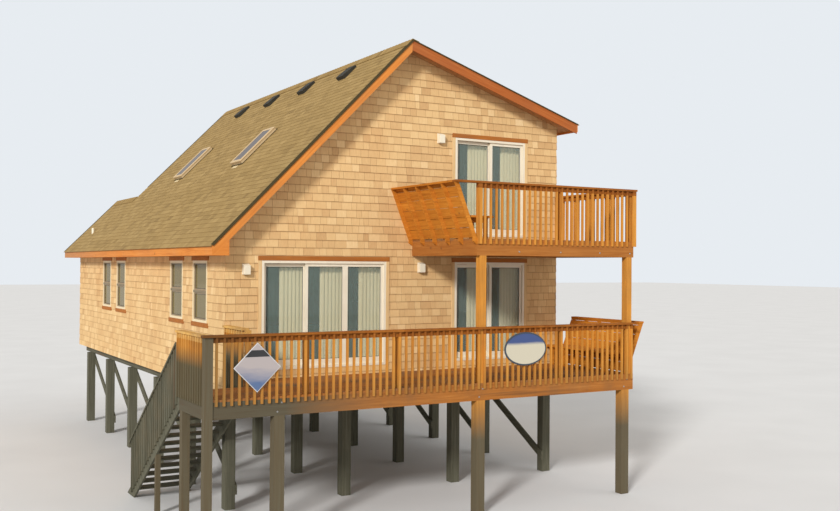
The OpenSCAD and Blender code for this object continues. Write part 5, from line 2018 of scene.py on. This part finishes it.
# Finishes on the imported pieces


@dataclass
class Dressing:
    """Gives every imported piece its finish."""

    plan: Plan
    lower_cap_z: float = 3.379
    upper_cap_z: float = 6.121
    lower_rail_x: float = -1.057
    upper_rail_x: float = 4.121
    rim_t: float = 0.038
    picket_lead: float = 0.046
    picket_pitch: float = 0.13
    deck_board_pitch: float = 0.146
    floor_board_pitch: float = 0.12
    soffit_board_pitch: float = 0.14
    bench_board_pitch: float = 0.192
    tread_pitch: float = 0.268
    stair_turn: float = -0.6
    # Cap colours: darker caps on the front rails, and a painted sunlit top on the side rails' caps.
    darker_cap: Colour = (0.55, 0.42, 0.36)
    painted_sunlit_cap: Colour = (1.2, 1.6, 2.6)
    # Painted shade: the right rake's boards are darker and redder than the left's.
    shaded_rake: Colour = (0.62, 0.50, 0.60)
    dark_cedar: Colour = (0.66, 0.58, 0.75)
    gold_cedar: Colour = (0.95, 0.80, 0.55)

    def build(self, nodes: dict[str, bpy.types.Object]) -> None:
        """Put each finish on its node.

        Args:
            nodes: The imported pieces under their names.
        """
        table = self.finishes()
        for name, node in nodes.items():
            if name not in table:
                continue
            node.data.materials.clear()
            node.data.materials.append(table[name].material())
            log.info("finished %s", name)

    def finishes(self) -> dict[str, Finish]:
        """Choose the finish of each node.

        Returns:
            The finish of each node.
        """
        return {**self._walls(), **self._trim(), **self._openings(), **self._base(),
                **self._decks(), **self._rails(), **self._benches(), **self._stair()}

    def _walls(self) -> dict[str, Finish]:
        """Board the walls and the roof's underside.

        Returns:
            The finish of each node.
        """
        sheathing = TimberFinish("wall_sheathing", SOFFIT_TONES, (0.2, 0.12, 0.06), Grain.Z)
        soffit = TimberFinish("soffit_boards", SOFFIT_TONES, (0.3, 0.2, 0.12), Grain.X,
                              row_pitch=(0.0, self.soffit_board_pitch, 0.0))
        table: dict[str, Finish] = {}
        for node in ("front_sill_wall", "front_wall_left", "front_wall_middle", "front_wall_right",
                     "front_gable", "left_wall", "right_wall", "wing_right_wall", "rear_wall",
                     "rear_gable"):
            table[node] = sheathing
        for node in ("main_roof_left", "main_roof_right", "wing_roof_left", "wing_roof_right"):
            table[node] = soffit
        return table

    def _trim(self) -> dict[str, Finish]:
        """Cut the rake and eave boards from cedar and finish the fittings on the roof.

        Returns:
            The finish of each node.
        """
        p = self.plan
        y = p.origin.y
        steep_turn = (0.0, math.atan(p.left_pitch), 0.0)
        shallow_turn = (0.0, -math.atan(p.right_pitch), 0.0)
        # The right rake takes darker, redder tones as painted shade.
        shaded_rake_tones = shaded(TRIM_TONES, self.shaded_rake)
        return {
            "left_rake_boards": TimberFinish(
                "cedar_left_rake", TRIM_TONES, (0.4, 0.2, 0.1), Grain.X, steep_turn),
            "right_rake_boards": TimberFinish(
                "cedar_right_rake", shaded_rake_tones, (0.3, 0.12, 0.06), Grain.X, shallow_turn),
            # The eave boards grey towards the rear end: painted shade.
            "eave_boards": TimberFinish(
                "cedar_eaves", TRIM_TONES, (0.36, 0.25, 0.17), Grain.X, weather=0.12,
                by_face=True, fades=(Fade("Y", y + 18.0, y + 7.0),)),
            "casing_boards": CASING,
            "skylight_curbs": SKYLIGHT_TAN,
            "skylight_glass": ROOF_PANE,
            "roof_vents": VENT_METAL,
            "vent_pipe": VINYL,
        }

    def _openings(self) -> dict[str, Finish]:
        """Finish the doors and windows.

        Returns:
            The finish of each node.
        """
        table: dict[str, Finish] = {"window_frames": WINDOW_CREAM, "window_glass": PANE}
        for node in ("wide_door_frame", "wide_door_slider", "pair_door_frame", "pair_door_slider",
                     "upper_door", "blind_headrails"):
            table[node] = VINYL
        for node in ("wide_slider_glass", "pair_slider_glass", "fixed_door_glass"):
            table[node] = DOOR_PANE
        return table

    def _base(self) -> dict[str, Finish]:
        """Weather the timber under the house, darkened with painted shade, and board the floors.

        Returns:
            The finish of each node.
        """
        x = self.plan.origin.x
        braces = TimberFinish("weathered_and_shaded_braces", GREY_TONES, WEATHER_GREY, Grain.Y)
        floor = TimberFinish("floor_boards", FLOOR_TONES, (0.25, 0.2, 0.15), Grain.X,
                             row_pitch=(0.0, self.floor_board_pitch, 0.0))
        return {
            "house_piles": TimberFinish("weathered_and_shaded_piles", GREY_TONES, WEATHER_GREY, Grain.Z),
            "pile_braces": braces,
            "floor_girders": braces,
            "ground_floor": floor,
            "upper_floor": floor,
            # Deck posts grey towards the ground and the left corner: weathering with painted shade.
            "deck_posts": TimberFinish(
                "deck_posts_timber", DECK_TONES, (0.088, 0.093, 0.066), Grain.Z,
                fades=(Fade("Z", 1.4, 2.35, 0.92), Fade("X", x + 0.2, x + 1.0, 0.92))),
        }

    def _decks(self) -> dict[str, Finish]:
        """Finish the decks' rims and boards, with the left corner greyed by weather and painted shade.

        Returns:
            The finish of each node.
        """
        o = self.plan.origin
        tones = shaded(DECK_TONES, self.dark_cedar)
        # The lower rim greys towards the left corner: weathering with painted shade.
        rim = TimberFinish(
            "lower_rim_timber", tones, (0.088, 0.090, 0.062), Grain.X, weather=0.35, by_face=True,
            fades=(Fade("X", o.x + 0.2, o.x + 2.4, 0.92),))
        # The deck boards grey heavily in patches: weathering with painted shade.
        boards = TimberFinish(
            "lower_deck_timber", tones, WEATHER_GREY, Grain.X, weather=0.6,
            row_start=(0.0, o.y - self.plan.deck_reach, 0.0),
            row_pitch=(0.0, self.deck_board_pitch, 0.0))
        return {
            "lower_deck_frame": rim,
            "landing_frame": rim,
            "lower_deck_boards": boards,
            "upper_deck_boards": boards,
            "upper_deck_frame": TimberFinish(
                "upper_rim_timber", tones, (0.28, 0.10, 0.03), Grain.X, by_face=True),
        }

    def _rails(self) -> dict[str, Finish]:
        """Finish the picket rails, with darker caps, and a painted sunlit top on the side rails' caps.

        Returns:
            The finish of each node.
        """
        x = self.plan.origin.x
        across, back = (self.picket_pitch, 0.0, 0.0), (0.0, self.picket_pitch, 0.0)
        return {
            # The front rail greys towards its left end and its foot: weathering with painted shade.
            "lower_front_rail": TimberFinish(
                "lower_rail_timber", DECK_TONES, (0.17, 0.12, 0.05), Grain.Z, weather=0.3,
                row_start=(x + self.lower_rail_x + self.rim_t - self.picket_lead, 0.0, 0.0),
                row_pitch=across, level_above=self.lower_cap_z, cap_shade=self.darker_cap,
                fades=(Fade("X", x - 1.1, x + 0.6, 0.7), Fade("Z", 2.4, 2.9, 0.4))),
            # The side rails grey towards the bottom below a lit top band: painted shade with some
            # weathering.
            "lower_side_rails": TimberFinish(
                "side_rail_timber", DECK_TONES, (0.092, 0.097, 0.062), Grain.Z, weather=0.3,
                row_pitch=back, level_above=self.lower_cap_z, level_grain=Grain.Y,
                cap_shade=self.painted_sunlit_cap, fades=(Fade("Z", 2.95, 3.3, 0.92),)),
            "upper_front_rail": TimberFinish(
                "upper_rail_timber", DECK_TONES, (0.3, 0.12, 0.05), Grain.Z,
                row_start=(x + self.upper_rail_x - self.picket_lead, 0.0, 0.0),
                row_pitch=across, level_above=self.upper_cap_z, cap_shade=self.darker_cap),
            "upper_right_rail": TimberFinish(
                "upper_side_rail_timber", DECK_TONES, (0.3, 0.12, 0.05), Grain.Z, row_pitch=back,
                level_above=self.upper_cap_z, level_grain=Grain.Y, cap_shade=self.darker_cap),
        }

    def _benches(self) -> dict[str, Finish]:
        """Finish the benches.

        Returns:
            The finish of each node.
        """
        bench = TimberFinish("bench_timber", shaded(DECK_TONES, self.gold_cedar), (0.30, 0.11, 0.02),
                             Grain.X, by_face=True, row_pitch=(0.0, 0.0, self.bench_board_pitch))
        return {node: bench for node in ("lower_bench_back", "lower_bench_seat",
                                         "upper_bench_back", "upper_bench_seat")}

    def _stair(self) -> dict[str, Finish]:
        """Weather the stair, darkened with painted shade.

        Returns:
            The finish of each node.
        """
        return {
            "stair_stringers": TimberFinish(
                "stair_timber", GREY_TONES, WEATHER_GREY, Grain.Y, turn=(self.stair_turn, 0.0, 0.0)),
            "stair_treads": TimberFinish(
                "tread_timber", GREY_TONES, WEATHER_GREY, Grain.X,
                row_pitch=(0.0, self.tread_pitch, 0.0)),
            "stair_rail": TimberFinish(
                "stair_rail_timber", GREY_TONES, (0.3, 0.2, 0.1), Grain.Z,
                row_pitch=(0.0, self.picket_pitch, 0.0)),
        }


# Studio


@dataclass
class Studio:
    """Plain floor, soft light and the camera, its turns in radians and its lens in millimetres."""

    camera_place: Size = (-9.7905, -23.428, 4.656)
    yaw: float = 0.527
    pitch: float = 0.010
    roll: float = 0.007
    lens: float = 42.39
    film_width: float = 36.0
    view_end: float = 500.0
    floor_size: float = 400.0
    floor_z: float = -0.002
    key: tuple[float, float] = (66.0, -50.0)
    key_strength: float = 2.9
    key_spread: float = 9.0
    fill: tuple[float, float] = (62.0, 52.0)
    fill_strength: float = 0.45
    fill_spread: float = 60.0
    air: Colour = (1.0, 1.0, 1.0)
    air_strength: float = 0.58
    backdrop: Colour = (0.80, 0.84, 0.88)

    def build(self) -> None:
        """Set the whole stage."""
        self._camera()
        self._floor()
        self._light("key_light", self.key, self.key_strength, self.key_spread)
        self._light("fill_light", self.fill, self.fill_strength, self.fill_spread)
        self._world()
        bpy.context.scene.view_settings.view_transform = "Standard"

    def _camera(self) -> None:
        """Put the camera at the photo's viewpoint."""
        level_part = math.cos(self.pitch)
        forward = Vector((math.sin(self.yaw) * level_part, math.cos(self.yaw) * level_part,
                          math.sin(self.pitch)))
        level = Vector((math.cos(self.yaw), -math.sin(self.yaw), 0.0))
        over = level.cross(forward)
        right = level * math.cos(self.roll) + over * math.sin(self.roll)
        up = right.cross(forward)
        data = bpy.data.cameras.new("camera")
        data.lens = self.lens
        data.sensor_width = self.film_width
        data.clip_end = self.view_end
        camera = bpy.data.objects.new("camera", data)
        turn = Matrix((right, up, -forward)).transposed()
        camera.matrix_world = Matrix.Translation(self.camera_place) @ turn.to_4x4()
        bpy.context.scene.collection.objects.link(camera)
        bpy.context.scene.camera = camera

    def _floor(self) -> None:
        """Lay a wide pale floor at the piles' feet."""
        Bench.clear()
        bpy.ops.mesh.primitive_plane_add(size=self.floor_size, location=(0.0, 0.0, self.floor_z))
        floor = Bench.settle("studio_floor")
        sketch = NodeSketch("pale_floor")
        shade = sketch.noise(sketch.place(), 0.4, detail=2.0)
        colour = sketch.ramp(shade, ((0.3, (0.72, 0.71, 0.69)), (0.7, (0.75, 0.74, 0.72))))
        floor.data.materials.append(sketch.finish(colour, 0.9, None, Specular_IOR_Level=0.1))

    def _light(self, name: str, turn: tuple[float, float], strength: float, spread: float) -> None:
        """Hang one soft light.

        Args:
            name: Name of the light.
            turn: How far it is turned about X and then about Z, in degrees.
            strength: How bright it is.
            spread: How wide it looks, in degrees.
        """
        data = bpy.data.lights.new(name, "SUN")
        data.energy = strength
        data.angle = math.radians(spread)
        lamp = bpy.data.objects.new(name, data)
        lamp.rotation_euler = (math.radians(turn[0]), 0.0, math.radians(turn[1]))
        bpy.context.scene.collection.objects.link(lamp)

    def _world(self) -> None:
        """Light the house evenly all round, with a pale backdrop for the camera and the glass."""
        world = bpy.data.worlds.new("studio_world")
        bpy.context.scene.world = world
        world.use_nodes = True
        tree = world.node_tree
        tree.nodes.clear()
        output = tree.nodes.new("ShaderNodeOutputWorld")
        light = tree.nodes.new("ShaderNodeBackground")
        light.inputs["Color"].default_value = (*self.air, 1.0)
        light.inputs["Strength"].default_value = self.air_strength
        shown = tree.nodes.new("ShaderNodeBackground")
        shown.inputs["Color"].default_value = (*self.backdrop, 1.0)
        path = tree.nodes.new("ShaderNodeLightPath")
        seen = tree.nodes.new("ShaderNodeMath")
        seen.operation = "MAXIMUM"
        tree.links.new(path.outputs["Is Camera Ray"], seen.inputs[0])
        tree.links.new(path.outputs["Is Transmission Ray"], seen.inputs[1])
        chosen = tree.nodes.new("ShaderNodeMixShader")
        tree.links.new(seen.outputs[0], chosen.inputs[0])
        tree.links.new(light.outputs[0], chosen.inputs[1])
        tree.links.new(shown.outputs[0], chosen.inputs[2])
        tree.links.new(chosen.outputs[0], output.inputs["Surface"])


def save_sizes() -> None:
    """Update the scene's view layer.
    """
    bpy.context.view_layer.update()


def main() -> None:
    """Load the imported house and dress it."""
    logging.basicConfig(level=logging.INFO, format="%(name)s: %(message)s")
    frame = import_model()
    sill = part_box("front_sill_wall")[0]
    plan = Plan(origin=Vector((sill.x, sill.y, 0.0)))
    Dressing(plan).build(frame["nodes"])
    walls, roof = WallShingles(plan), RoofCovering(plan)
    for part in (walls, roof, Blinds(plan), DoorFittings(plan), WindowSashes(plan, walls),
                 SkylightDressing(plan, roof), WallLamps(plan), RailBoards(plan), Bolts(plan),
                 Studio()):
        part.build()
        log.info("built %s", type(part).__name__)
    save_sizes()


if __name__ == "__main__":
    main()
